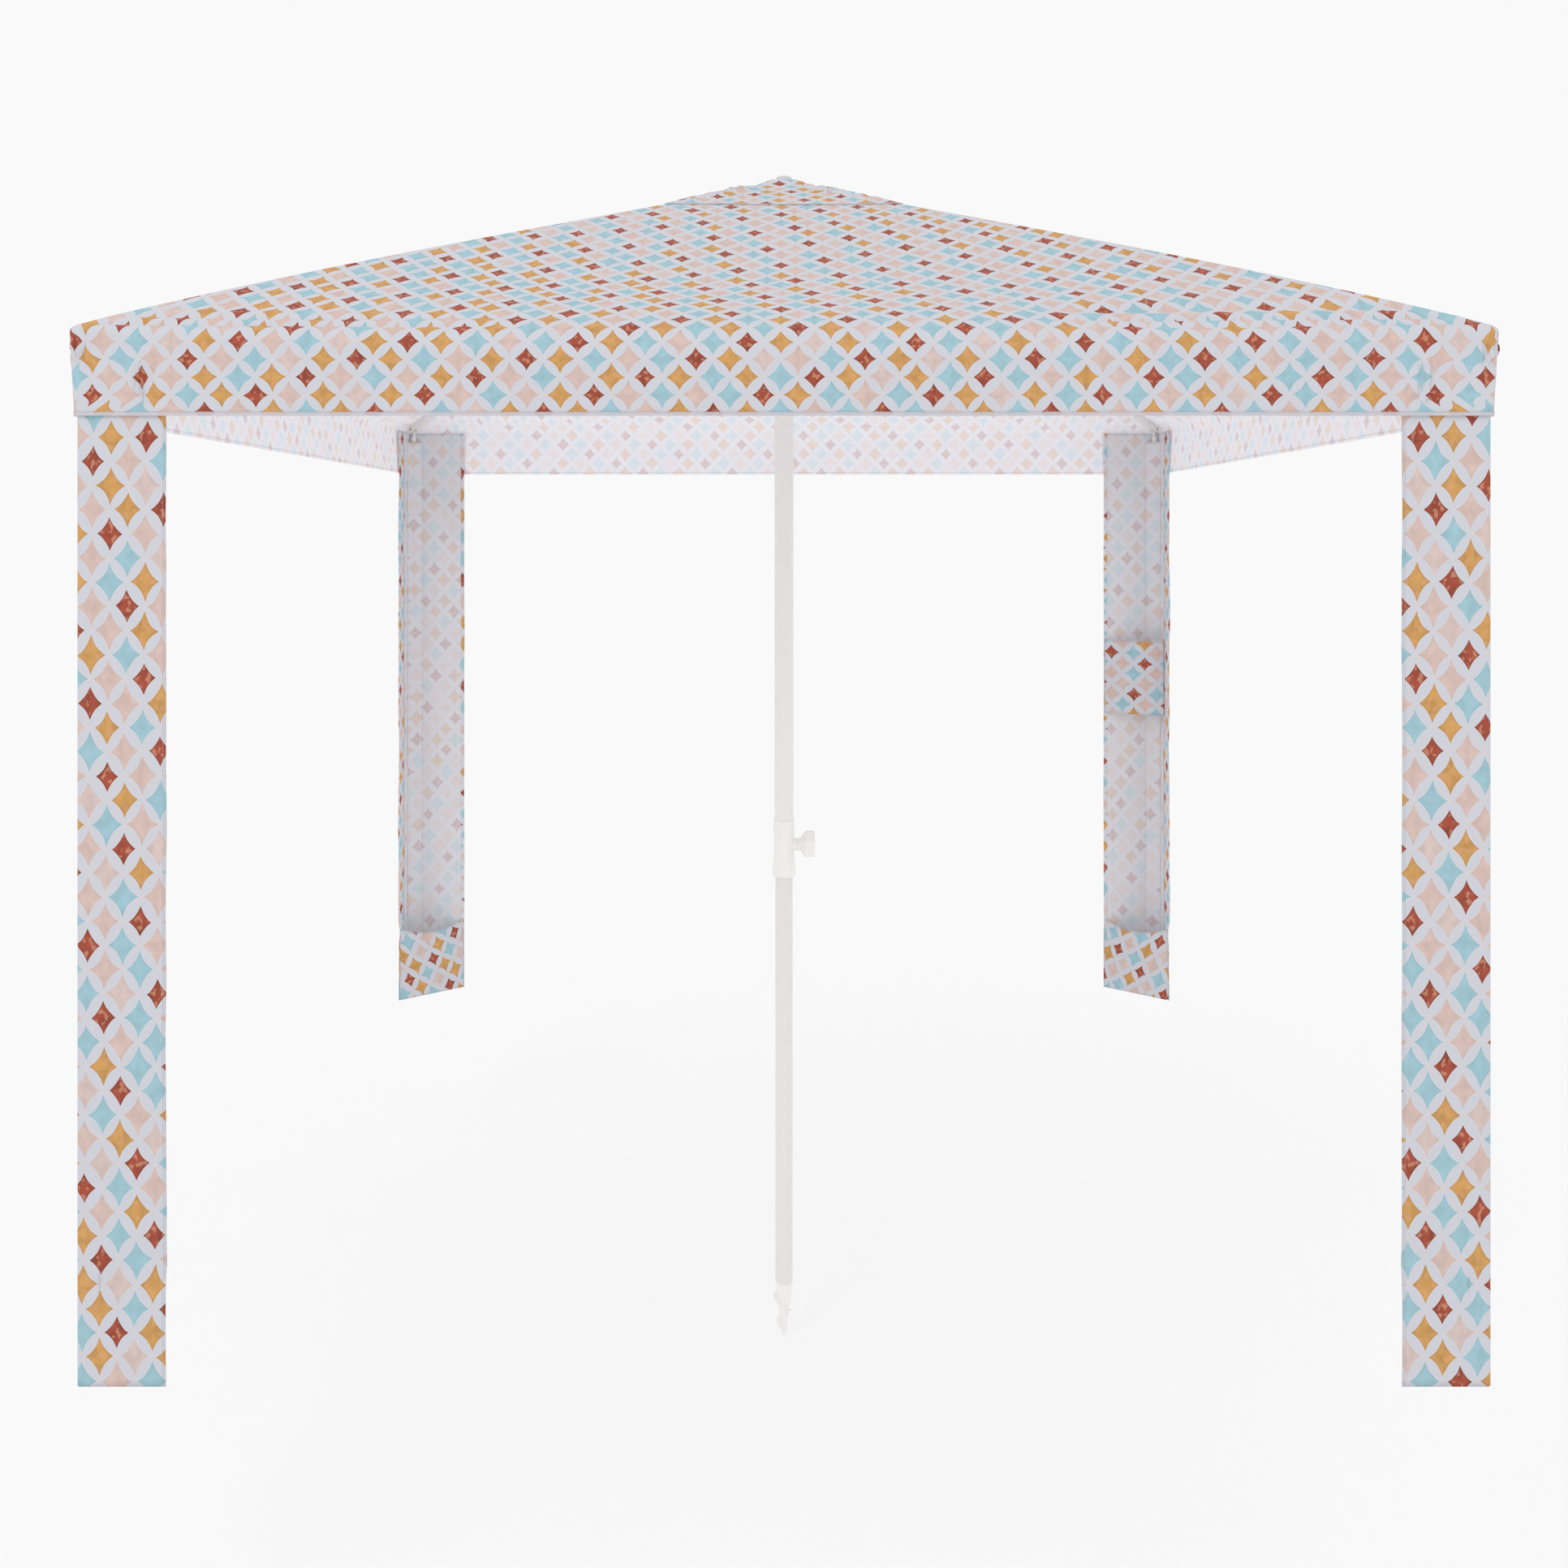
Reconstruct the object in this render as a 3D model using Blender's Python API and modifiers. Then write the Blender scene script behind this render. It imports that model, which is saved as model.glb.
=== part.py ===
# A beach tent: a square cloth canopy on four ribs, held up by one pole that screws into sand.
# Cloth covers hang over the four leg poles, with a sand pocket inside the foot of each.
# Metres, +Z up. The origin is on the pole's axis at ground level and the front faces -Y.

import math

import bmesh
import bpy
from mathutils import Matrix, Vector

# Canopy: the sizes are of the cloth's inner surface
CANOPY_HALF = 0.9965
PEAK_Z = 1.907
EAVE_Z = 1.480
HEM_Z = 1.357
HEM_LEAN = 0.0047
RIDGE_BOW = 0.0085
ROOF_SAG = 0.028
EAVE_SAG = 0.010
EAVE_ROUND_CORNER = 0.006
EAVE_ROUND_MIDDLE = 0.034
FOLD_DEPTH = 0.007
FOLD_WIDTH = 0.022
FOLD_FROM_EAVE = 0.052
VALANCE_WAVE = 0.0022
CLOTH = 0.002
SEAM = 0.0003
GAP = 0.0003

# The hole in the roof under the vent cap, and the cap over it
VENT_HALF = 0.075
CAP_HALF = 0.2237
CAP_HOLE = 0.008
CAP_LIFT = 0.0005
CAP_SAG_SHARE = 0.9

# Legs and their covers
LEG_INSET = 0.0065
LEG_WIDTH = 0.126
LEG_TOP_Z = 1.430
LEG_CORNER_ROUND = 0.006
LEG_WAVE = 0.0022
LEG_POLE_RADIUS = 0.008
LEG_FOOT_ROUND = 0.0015
LEG_WAVE_PHASE = 1.0

# Sand pockets inside the leg covers, and the small storage pocket on the back right leg
SAND_POCKET_HEIGHT = 0.182
SAND_POCKET_DIP = 0.018
SAND_POCKET_BULGE = 0.014
POCKET_NOTCH = 0.032
STORE_BOTTOM_Z = 0.726
STORE_HEIGHT = 0.196
STORE_DIP = 0.004
STORE_DEPTH = 0.078
STORE_BULGE = 0.006

# Poles
POLE_RADIUS = 0.019
POLE_WALL = 0.0012
LOWER_RADIUS = 0.0175
LOWER_WALL = 0.0013
LOWER_TOP_Z = 0.850
LOWER_BOTTOM_Z = -0.315
POLE_BOTTOM_Z = 0.588
CAP_PLUG_DEPTH = 0.018
CAP_PLUG_HEAD = 0.003

# Collar that joins the poles, with its clamp
COLLAR_TOP_Z = 0.618
COLLAR_BOTTOM_Z = 0.504
COLLAR_TOP_RADIUS = 0.0209
COLLAR_WAIST_RADIUS = 0.0199
COLLAR_FOOT_RADIUS = 0.0232
COLLAR_EDGE = 0.0015
COLLAR_LIP = 0.003
CLAMP_Z = 0.568
BOSS_RADIUS = 0.0125
BOSS_END = 0.0270
NECK_RADIUS = 0.0125
KNOB_START = 0.0360
KNOB_END = 0.0620
KNOB_RADIUS = 0.0275
KNOB_LOBE_DEPTH = 0.0035
KNOB_EDGE = 0.002
SCREW_RADIUS = 0.004
SCREW_DEPTH = 0.012
SCREW_CLEAR = 0.0003

# Sand auger
AUGER_RADIUS = 0.0155
AUGER_SHANK = 0.022
AUGER_LENGTH = 0.1095
AUGER_MID_DEPTH = 0.070
AUGER_MID_RADIUS = 0.0081
AUGER_TIP_RADIUS = 0.0042
AUGER_TIP_ROUND = 0.006
AUGER_SPIGOT = 0.040
FLIGHT_START = 0.004
FLIGHT_PITCH = 0.051
FLIGHT_TOP_REACH = 0.0243
FLIGHT_END_REACH = 0.0135
FLIGHT_ROOT = 0.0070
FLIGHT_EDGE = 0.0016
FLIGHT_RUN_IN = 0.006
FLIGHT_START_TURN = 4.5

# Hub at the top of the pole
HUB_BELOW_PEAK = 0.027
HUB_RADIUS = 0.044
HUB_HEIGHT = 0.024
HUB_NECK_RADIUS = 0.0255
HUB_NECK_DEPTH = 0.034
HUB_ROOF = 0.004
HUB_EDGE = 0.002
RING_RADIUS = 0.035
RING_BELOW_TOP = 0.008
RING_WIRE = 0.0015
RING_CHANNEL = 0.0019
FINIAL_RADIUS = 0.0158
FINIAL_HEIGHT = 0.0105
FINIAL_CROWN = 0.004
FINIAL_EDGE = 0.0008
FINIAL_FOOT_RADIUS = 0.0188
FINIAL_FOOT = 0.0025
FINIAL_STEM = 0.006
FINIAL_BOLT = 0.003

# Ribs
RIB_RADIUS = 0.0055
RIB_SEAT = 0.0013
RIB_START = 0.022
RIB_JOIN = 0.075
RIB_END_FROM_PIN = 0.040
RIB_DIP = 0.0035
RIB_DIP_LENGTH = 0.10
TONGUE = 0.006
TONGUE_EYE = 0.0065
TONGUE_HALF = 0.0038
TONGUE_OVERLAP = 0.012
TONGUE_CLEAR = 0.0004
EYE_HOLE = 0.0026

# Struts, from a clip on each rib to the runner on the pole
STRUT_REACH = 0.500
STRUT_BELOW_RIB = 0.0160
STRUT_RADIUS = 0.0045
STRUT_TONGUE_LENGTH = 0.024
STRUT_EYE = 0.005
STRUT_TONGUE_HALF = 0.0030
CLIP_HALF_WIDTH = 0.0072
CLIP_HALF_LENGTH = 0.011
CLIP_RISE = 0.0017
CLIP_DROP = 0.0085
CLIP_EYE = 0.0065
CLIP_SLOT_TOP = 0.0102
CLIP_BORE_CLEAR = 0.0003
PIN_RADIUS = 0.002
PIN_CLEAR = 0.0003
PIN_HEAD_RADIUS = 0.0034
PIN_HEAD = 0.0012

# Runner
RUNNER_BORE_CLEAR = 0.0004
RUNNER_CORE = 0.0258
RUNNER_FLANGE = 0.043
RUNNER_FLANGE_HALF = 0.009
RUNNER_RISE = 0.013
RUNNER_DEPTH = 0.050
RUNNER_GRIP = 0.029
RUNNER_GRIP_RISE = 0.0145
RUNNER_GRIP_LIP = 0.0045
RUNNER_EDGE = 0.0015
RUNNER_SLOT_CLEAR = 0.0006

# Spring catch that holds the runner up
CATCH_WIDTH = 0.007
CATCH_LEAF = 0.0012
CATCH_LEAF_LENGTH = 0.058
CATCH_LEAF_RISE = 0.005
CATCH_NOSE = 0.0052
CATCH_NOSE_HEIGHT = 0.016
CATCH_NOSE_FLAT = 0.005
CATCH_WALL_GAP = 0.0007
CATCH_TRAVEL = 0.006
WINDOW_CLEAR = 0.0008

# Corner brackets between the ribs and the leg poles
BRACKET_HALF_WIDTH = 0.008
BRACKET_EYE = 0.008
BRACKET_LENGTH = 0.085
BRACKET_HALF_HEIGHT = 0.0088
BRACKET_RISE = 0.0038
BRACKET_SLOT_LENGTH = 0.016
BRACKET_BELOW_CLOTH = 0.0045
BRACKET_ARC_START = 75
LEG_TONGUE_DROP = 0.020
LEG_TONGUE_SUNK = 0.012
LEG_EYE = 0.0065

OVERRUN = 0.010
WELD = 0.00001

# Counts
POLE_STEPS = 28
BOSS_STEPS = 24
SMALL_STEPS = 16
ROD_SIDES = 12
RIB_POINTS = 12
EYE_POINTS = 9
CROWN_POINTS = 5
TIP_POINTS = 4
BEND_POINTS = 3
SOCKET_POINTS = 4
KNOB_LOBES = 5
KNOB_POINTS = 30
FLIGHT_TURNS = 1.75
FLIGHT_STEPS_PER_TURN = 20
RING_STEPS = 36
RING_SIDES = 6
WIRE_RESOLUTION = 2
CREASE_ANGLE = 35

# Shares of a length that place the rows and columns of the cloth
ROOF_ROW_SHARES = [0.0, 0.07, 0.17, 0.29, 0.41, 0.53, 0.65, 0.76, 0.85, 0.91, 0.955, 1.0]
ROOF_COLUMN_SHARES = [-1.0, -0.86, -0.68, -0.46, -0.23, 0.0, 0.23, 0.46, 0.68, 0.86, 1.0]
EAVE_END_SHARE = 0.5
VALANCE_ROW_SHARES = [0.0, 0.3, 0.65, 1.0]
VALANCE_COLUMNS = 20
VALANCE_WAVES = 7
CAP_ROW_SHARES = [0.0, 0.3, 0.65, 1.0]
CAP_COLUMNS = 8
LEG_ROWS = 10
LEG_FLANGE_SHARES = [1.0, 0.75, 0.45, 0.2]
LEG_WAVES = 5
POCKET_COLUMNS = 6
POCKET_ROW_SHARES = [0.0, 0.4, 0.75, 1.0]

# The collar's outline above and below its waist: shares of its height from the top, and of its
# swell towards that end
COLLAR_UPPER_SHARES = [(0.14, 1.0), (0.28, 0.375), (0.42, 0.0)]
COLLAR_LOWER_SHARES = [(0.60, 0.0), (0.72, 0.45), (0.87, 1.0)]

# The flight's root as a share of the core's radius, and its reach at its two ends as a share of the rest
FLIGHT_ROOT_SHARE = 0.6
FLIGHT_END_SHARE = 0.15

BOW_PEAK = 27 / 4
SAG_SHIFT = 1.6
EAVE_SAG_POWER = 4
RISE = PEAK_Z - EAVE_Z
LEG_HALF = CANOPY_HALF - LEG_INSET
DIAGONAL = math.sqrt(2)
SLOPE_LENGTH = math.hypot(CANOPY_HALF * DIAGONAL, RISE)
SLOPE_GROWTH = SLOPE_LENGTH / (CANOPY_HALF * DIAGONAL)
FACE_GROWTH = math.hypot(CANOPY_HALF, RISE) / CANOPY_HALF

SIDES = {"front": -90, "right": 0, "back": 90, "left": 180}
CORNERS = {"front_left": (-1, -1), "front_right": (1, -1), "back_left": (-1, 1), "back_right": (1, 1)}

WHITE_ENAMEL = ("white_enamel", (0.85, 0.83, 0.81), 0.35, 0.0)
WHITE_PLASTIC = ("white_plastic", (0.86, 0.84, 0.82), 0.45, 0.0)
GREY_PLASTIC = ("grey_plastic", (0.62, 0.62, 0.62), 0.5, 0.0)
WHITE_ROD = ("white_rod", (0.82, 0.82, 0.80), 0.5, 0.0)
STEEL = ("steel", (0.60, 0.60, 0.60), 0.3, 1.0)
PRINTED_CLOTH = ("printed_cloth", (0.72, 0.68, 0.68), 0.8, 0.0)
CAP_CLOTH = ("cap_cloth", (0.74, 0.70, 0.69), 0.8, 0.0)
POCKET_CLOTH = ("pocket_cloth", (0.70, 0.62, 0.58), 0.8, 0.0)


# Scene and materials

def clear_scene():
    for item in list(bpy.data.objects):
        bpy.data.objects.remove(item, do_unlink=True)


def collection(name):
    found = bpy.data.collections.new(name)
    bpy.context.scene.collection.children.link(found)
    return found


def material(finish):
    name, colour, roughness, metallic = finish
    found = bpy.data.materials.get(name)
    if found:
        return found
    made = bpy.data.materials.new(name)
    made.use_nodes = True
    shader = made.node_tree.nodes["Principled BSDF"]
    shader.inputs["Base Color"].default_value = (*colour, 1)
    shader.inputs["Roughness"].default_value = roughness
    shader.inputs["Metallic"].default_value = metallic
    return made


def add(name, data, finish):
    piece = bpy.data.objects.new(name, data)
    PARTS.objects.link(piece)
    if not data.materials:
        data.materials.append(material(finish))
    return piece


def evaluated(piece):
    # The piece as a plain mesh, with its modifiers worked out and its caps welded.
    graph = bpy.context.evaluated_depsgraph_get()
    mesh = bpy.data.meshes.new_from_object(piece.evaluated_get(graph))
    work = bmesh.new()
    work.from_mesh(mesh)
    bmesh.ops.remove_doubles(work, verts=work.verts, dist=WELD)
    bmesh.ops.recalc_face_normals(work, faces=work.faces)
    work.to_mesh(mesh)
    work.free()
    mesh.shade_smooth()
    mesh.set_sharp_from_angle(angle=math.radians(CREASE_ANGLE))
    return mesh


def finished(piece):
    # Replaces a piece by one that holds only its worked-out mesh.
    name, place = piece.name, piece.matrix_world.copy()
    mesh = evaluated(piece)
    old = piece.data
    bpy.data.objects.remove(piece, do_unlink=True)
    if old.users == 0 and isinstance(old, bpy.types.Mesh):
        bpy.data.meshes.remove(old)
    mesh.name = name
    made = bpy.data.objects.new(name, mesh)
    PARTS.objects.link(made)
    made.matrix_world = place
    return made


def joined(piece, other, operation):
    # Cuts or joins a piece by another shape, which goes among the cutters and is used up.
    for owner in list(other.users_collection):
        owner.objects.unlink(other)
    CUTTERS.objects.link(other)
    other.display_type = "WIRE"
    other.hide_render = True
    step = piece.modifiers.new(operation.title(), "BOOLEAN")
    step.operation = operation
    step.solver = "EXACT"
    step.object = other
    bpy.context.view_layer.update()
    made = finished(piece)
    bpy.data.objects.remove(other, do_unlink=True)
    return made


def cut(piece, *cutters):
    for cutter in cutters:
        piece = joined(piece, cutter, "DIFFERENCE")
    return piece


def united(piece, *others):
    for other in others:
        piece = joined(piece, other, "UNION")
    return piece


# Basic forms

def turned(name, outline, finish, steps=POLE_STEPS, ring=False):
    # A turned piece, from (radius, height) points that run down its outer side.
    points = [(radius, 0, height) for radius, height in outline]
    edges = [(i, i + 1) for i in range(len(points) - 1)]
    if ring:
        edges.append((len(points) - 1, 0))
    mesh = bpy.data.meshes.new(name)
    mesh.from_pydata(points, edges, [])
    piece = add(name, mesh, finish)
    turn = piece.modifiers.new("Turn", "SCREW")
    turn.steps = steps
    turn.render_steps = steps
    turn.use_merge_vertices = True
    turn.merge_threshold = WELD
    bpy.context.view_layer.update()
    return finished(piece)


def rod(name, start, end, radius, finish, sides=ROD_SIDES):
    # A straight round bar between two points.
    start, end = Vector(start), Vector(end)
    work = bmesh.new()
    bmesh.ops.create_cone(
        work, cap_ends=True, segments=sides, radius1=radius, radius2=radius, depth=(end - start).length
    )
    turn = Vector((0, 0, 1)).rotation_difference(end - start).to_matrix().to_4x4()
    bmesh.ops.transform(work, matrix=Matrix.Translation((start + end) / 2) @ turn, verts=work.verts)
    mesh = bpy.data.meshes.new(name)
    work.to_mesh(mesh)
    work.free()
    mesh.shade_smooth()
    mesh.set_sharp_from_angle(angle=math.radians(CREASE_ANGLE))
    return add(name, mesh, finish)


def block(name, low, high, finish):
    # A box between two corners.
    low, high = Vector(low), Vector(high)
    work = bmesh.new()
    bmesh.ops.create_cube(work, size=1)
    size = Matrix.Diagonal((*(high - low), 1))
    bmesh.ops.transform(work, matrix=Matrix.Translation((low + high) / 2) @ size, verts=work.verts)
    mesh = bpy.data.meshes.new(name)
    work.to_mesh(mesh)
    work.free()
    return add(name, mesh, finish)


def plate(name, outline, thickness, finish):
    # A flat outline in the XZ plane, with its thickness along Y.
    data = bpy.data.curves.new(name, "CURVE")
    data.dimensions = "2D"
    data.fill_mode = "BOTH"
    data.extrude = thickness / 2
    line = data.splines.new("POLY")
    line.points.add(len(outline) - 1)
    for point, (x, z) in zip(line.points, outline):
        point.co = (x, z, 0, 1)
    line.use_cyclic_u = True
    piece = add(name, data, finish)
    piece.rotation_euler.x = math.radians(90)
    bpy.context.view_layer.update()
    made = finished(piece)
    made.data.transform(made.matrix_world)
    made.matrix_world = Matrix.Identity(4)
    return made


def wire(name, points, radius, finish):
    # A round bar along a line of points.
    data = bpy.data.curves.new(name, "CURVE")
    data.dimensions = "3D"
    data.bevel_depth = radius
    data.bevel_resolution = WIRE_RESOLUTION
    data.use_fill_caps = True
    line = data.splines.new("POLY")
    line.points.add(len(points) - 1)
    for point, place in zip(line.points, points):
        point.co = (*place, 1)
    piece = add(name, data, finish)
    bpy.context.view_layer.update()
    return finished(piece)


def arc(centre, radius, start, end, points):
    # Points along an arc in a plane, with its angles in degrees.
    angles = [math.radians(start + (end - start) * i / (points - 1)) for i in range(points)]
    return [(centre[0] + radius * math.cos(a), centre[1] + radius * math.sin(a)) for a in angles]


def tongue_outline(eye, end, eye_radius, half):
    # A bar's outline: round about the eye, square at the other end.
    along = Vector((end[0] - eye[0], end[1] - eye[1])).normalized()
    across = Vector((-along.y, along.x))
    heading = math.degrees(math.atan2(across.y, across.x))
    round_end = arc(eye, eye_radius, heading, heading + 180, EYE_POINTS)
    near = (end[0] + across.x * half, end[1] + across.y * half)
    far = (end[0] - across.x * half, end[1] - across.y * half)
    return [near, *round_end, far]


def sheet(name, rows, finish, closed=False):
    # Cloth from rows of points on its inner surface, thickened outwards. Faces look along row x column.
    wide = len(rows[0])
    points = [tuple(point) for row in rows for point in row]
    across = wide if closed else wide - 1
    faces = []
    for j in range(len(rows) - 1):
        for i in range(across):
            a, b = j * wide + i, j * wide + (i + 1) % wide
            faces.append((a, a + wide, b + wide, b))
    mesh = bpy.data.meshes.new(name)
    mesh.from_pydata(points, [], faces)
    piece = add(name, mesh, finish)
    shell = piece.modifiers.new("Thickness", "SOLIDIFY")
    shell.thickness = CLOTH
    shell.offset = 1
    shell.use_even_offset = True
    bpy.context.view_layer.update()
    return finished(piece)


def shell_between(name, inner, outer, finish):
    # A closed wall between two surfaces given as equal rows of points.
    tall, wide = len(inner), len(inner[0])
    points = [tuple(p) for rows in (inner, outer) for row in rows for p in row]
    base = tall * wide
    faces = []
    for j in range(tall - 1):
        for i in range(wide - 1):
            a = j * wide + i
            faces.append((a, a + 1, a + wide + 1, a + wide))
            faces.append((base + a, base + a + wide, base + a + wide + 1, base + a + 1))
    rim = [j * wide for j in range(tall)] + [(tall - 1) * wide + i for i in range(1, wide)]
    rim += [j * wide + wide - 1 for j in range(tall - 2, -1, -1)] + list(range(wide - 2, 0, -1))
    for a, b in zip(rim, rim[1:] + rim[:1]):
        faces.append((a, base + a, base + b, b))
    mesh = bpy.data.meshes.new(name)
    mesh.from_pydata(points, [], faces)
    return finished(add(name, mesh, finish))


# The canopy's shape

def ridge_height(t):
    # Height of the cloth along a ridge, at a share t of the way from the peak to the corner.
    return PEAK_Z - RISE * t + RIDGE_BOW * BOW_PEAK * t * t * (1 - t)


def roof_sag(t):
    # The cloth hangs deepest beyond the middle of the slope, and hardly at all under the vent cap.
    return ROOF_SAG * math.sin(math.pi * t ** SAG_SHIFT) ** 2 + EAVE_SAG * t ** EAVE_SAG_POWER


def roof_height(reach, share):
    # Height at a distance from the pole towards one side, and a share -1..1 across that side.
    t = reach / CANOPY_HALF
    return ridge_height(t) - roof_sag(t) * (1 - share * share)


def fold_depth(reach, share):
    # The valley that the cloth makes along the eave near each corner.
    offset = (CANOPY_HALF - FOLD_FROM_EAVE - reach) / FOLD_WIDTH
    return FOLD_DEPTH * math.exp(-offset * offset) * 4 * share * share * (1 - share * share)


def eave_points(share):
    # The eave's rounding as three control points in (reach, height).
    size = EAVE_ROUND_CORNER + (EAVE_ROUND_MIDDLE - EAVE_ROUND_CORNER) * (1 - share * share)
    start = CANOPY_HALF - size
    turn = roof_height(CANOPY_HALF, share)
    return (start, roof_height(start, share)), (CANOPY_HALF, turn), (CANOPY_HALF, turn - size)


def eave_point(share, u):
    a, b, c = eave_points(share)
    return tuple(a[k] * (1 - u) ** 2 + 2 * b[k] * u * (1 - u) + c[k] * u * u for k in (0, 1))


def placed(side, reach, share, height, along=0):
    # A point on one side of the tent, turned to that side's heading.
    angle = math.radians(SIDES[side])
    x, y = reach, share * reach + along
    return (x * math.cos(angle) - y * math.sin(angle), x * math.sin(angle) + y * math.cos(angle), height)


def seam_share(share, reach):
    # Draws a column back from the ridge by half a seam.
    return max(-1, min(1, share)) * (1 - SEAM / reach)


def roof_panel(side):
    rows = []
    for row_share in ROOF_ROW_SHARES:
        row = []
        for share in ROOF_COLUMN_SHARES:
            last = eave_points(share)[0][0]
            reach = VENT_HALF + (last - VENT_HALF) * row_share
            height = roof_height(reach, share) - fold_depth(reach, share)
            row.append(placed(side, reach, seam_share(share, reach), height))
        rows.append(row)
    row = []
    for share in ROOF_COLUMN_SHARES:
        reach, height = eave_point(share, EAVE_END_SHARE)
        row.append(placed(side, reach, seam_share(share, reach), height))
    rows.append(row)
    return sheet("roof_" + side, rows, PRINTED_CLOTH)


def valance(side):
    rows = []
    shares = [2 * i / VALANCE_COLUMNS - 1 for i in range(VALANCE_COLUMNS + 1)]
    starts = []
    for share in shares:
        a, _, c = eave_points(share)
        chord = math.hypot(c[0] - a[0], c[1] - a[1])
        starts.append(eave_point(share, EAVE_END_SHARE + SEAM / chord))
    ends = [eave_points(share)[2] for share in shares]
    rows.append([(start, share, 0) for start, share in zip(starts, shares)])
    for row_share in VALANCE_ROW_SHARES:
        row = []
        for end, share in zip(ends, shares):
            height = end[1] + (HEM_Z - end[1]) * row_share
            reach = CANOPY_HALF - HEM_LEAN * row_share
            calm = (1 - share ** 4) * row_share
            wave = VALANCE_WAVE * math.sin(VALANCE_WAVES * math.pi * share) * calm
            row.append(((reach, height), share, max(0, wave)))
        rows.append(row)
    places = [
        [placed(side, reach + wave, seam_share(share, reach), height) for (reach, height), share, wave in row]
        for row in rows
    ]
    return sheet("valance_" + side, places, PRINTED_CLOTH)


def vent_cap():
    rows = []
    for row_share in CAP_ROW_SHARES:
        row = []
        for side in SIDES:
            for i in range(CAP_COLUMNS):
                share = 2 * i / CAP_COLUMNS - 1
                reach = CAP_HOLE + (CAP_HALF - CAP_HOLE) * row_share
                t = reach / CANOPY_HALF
                lift = CLOTH * FACE_GROWTH + CAP_LIFT
                sag = CAP_SAG_SHARE * roof_sag(t) * (1 - share * share)
                row.append(placed(side, reach, share, ridge_height(t) + lift - sag))
        rows.append(row)
    return sheet("vent_cap", rows, CAP_CLOTH, closed=True)


# The frame's lines, in the vertical plane of one rib: distance from the pole, and height

HUB_TOP_Z = PEAK_Z - HUB_BELOW_PEAK
PIVOT = (RING_RADIUS, HUB_TOP_Z - RING_BELOW_TOP)
LEG_CENTRE = LEG_HALF - CLOTH - GAP - LEG_POLE_RADIUS


def cloth_height(distance):
    return ridge_height(distance / (CANOPY_HALF * DIAGONAL))


LEG_PIN = (
    LEG_CENTRE * DIAGONAL,
    cloth_height(LEG_CENTRE * DIAGONAL) - BRACKET_EYE - BRACKET_BELOW_CLOTH,
)
RIB_END = LEG_PIN[0] - RIB_END_FROM_PIN


def rib_height(distance):
    # The rib lies just under the ridge seam, and dips a little into its corner bracket.
    seat = (RIB_RADIUS + RIB_SEAT) * SLOPE_GROWTH
    dip = max(0, min(1, (distance - RIB_END) / RIB_DIP_LENGTH + 1))
    under = cloth_height(distance) - seat - RIB_DIP * dip * dip * (3 - 2 * dip)
    start = PIVOT[0] + RIB_JOIN
    if distance >= start:
        return under
    meet = cloth_height(start) - seat
    return PIVOT[1] + (meet - PIVOT[1]) * (distance - PIVOT[0]) / RIB_JOIN


STRUT_TOP = (PIVOT[0] + STRUT_REACH, rib_height(PIVOT[0] + STRUT_REACH) - STRUT_BELOW_RIB)
STRUT_FOOT = (PIVOT[0], 2 * STRUT_TOP[1] - PIVOT[1])
STRUT_LENGTH = math.hypot(STRUT_TOP[0] - STRUT_FOOT[0], STRUT_TOP[1] - STRUT_FOOT[1])
RUNNER_Z = STRUT_FOOT[1]


def rib_direction(distance):
    step = RIB_RADIUS
    rise = rib_height(distance + step) - rib_height(distance - step)
    return Vector((2 * step, rise)).normalized()


def in_plane(point, along=0):
    return (point[0], along, point[1])


def bore_across(name, point, radius):
    # A cutter across the rib's plane, for a pin or a ring.
    return rod(name, in_plane(point, -HUB_RADIUS), in_plane(point, HUB_RADIUS), radius, STEEL, SMALL_STEPS)


# Pieces of the ribs, modelled once on the +X side

def rib_mesh():
    first = PIVOT[0] + RIB_START
    reach = [first + (RIB_END - first) * i / (RIB_POINTS - 1) for i in range(RIB_POINTS)]
    piece = wire("rib", [(x, 0, rib_height(x)) for x in reach], RIB_RADIUS, WHITE_ROD)
    end = first + TONGUE_OVERLAP
    outline = tongue_outline(PIVOT, (end, rib_height(end)), TONGUE_EYE, TONGUE_HALF)
    piece = united(piece, plate("tongue", outline, TONGUE, WHITE_ROD))
    return cut(piece, bore_across("ring_hole", PIVOT, EYE_HOLE)), WHITE_ROD


def clip_mesh():
    # A saddle that snaps on the rib from below, with two ears for the strut's pin.
    x, z = STRUT_TOP
    axis = rib_direction(x)
    centre = Vector((x, rib_height(x)))
    half = axis * CLIP_HALF_LENGTH
    rise = Vector((-axis.y, axis.x)) * CLIP_RISE
    drop = Vector((-axis.y, axis.x)) * -CLIP_DROP
    outline = [tuple(centre - half + rise), tuple(centre - half + drop)]
    outline += arc((x, z), CLIP_EYE, 180, 360, EYE_POINTS)
    outline += [tuple(centre + half + drop), tuple(centre + half + rise)]
    piece = plate("strut_clip", outline, 2 * CLIP_HALF_WIDTH, GREY_PLASTIC)
    along = axis * (CLIP_HALF_LENGTH + OVERRUN)
    start = (x - along.x, 0, rib_height(x) - along.y)
    end = (x + along.x, 0, rib_height(x) + along.y)
    bore = rod("rib_bore", start, end, RIB_RADIUS + CLIP_BORE_CLEAR, GREY_PLASTIC, SMALL_STEPS)
    slot = TONGUE / 2 + TONGUE_CLEAR
    low = (x - CLIP_HALF_LENGTH - OVERRUN, -slot, z - CLIP_EYE - OVERRUN)
    high = (x + CLIP_HALF_LENGTH + OVERRUN, slot, rib_height(x) - CLIP_SLOT_TOP)
    hole = bore_across("pin_hole", STRUT_TOP, PIN_RADIUS + PIN_CLEAR)
    return cut(piece, bore, block("slot", low, high, GREY_PLASTIC), hole), GREY_PLASTIC


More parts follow.
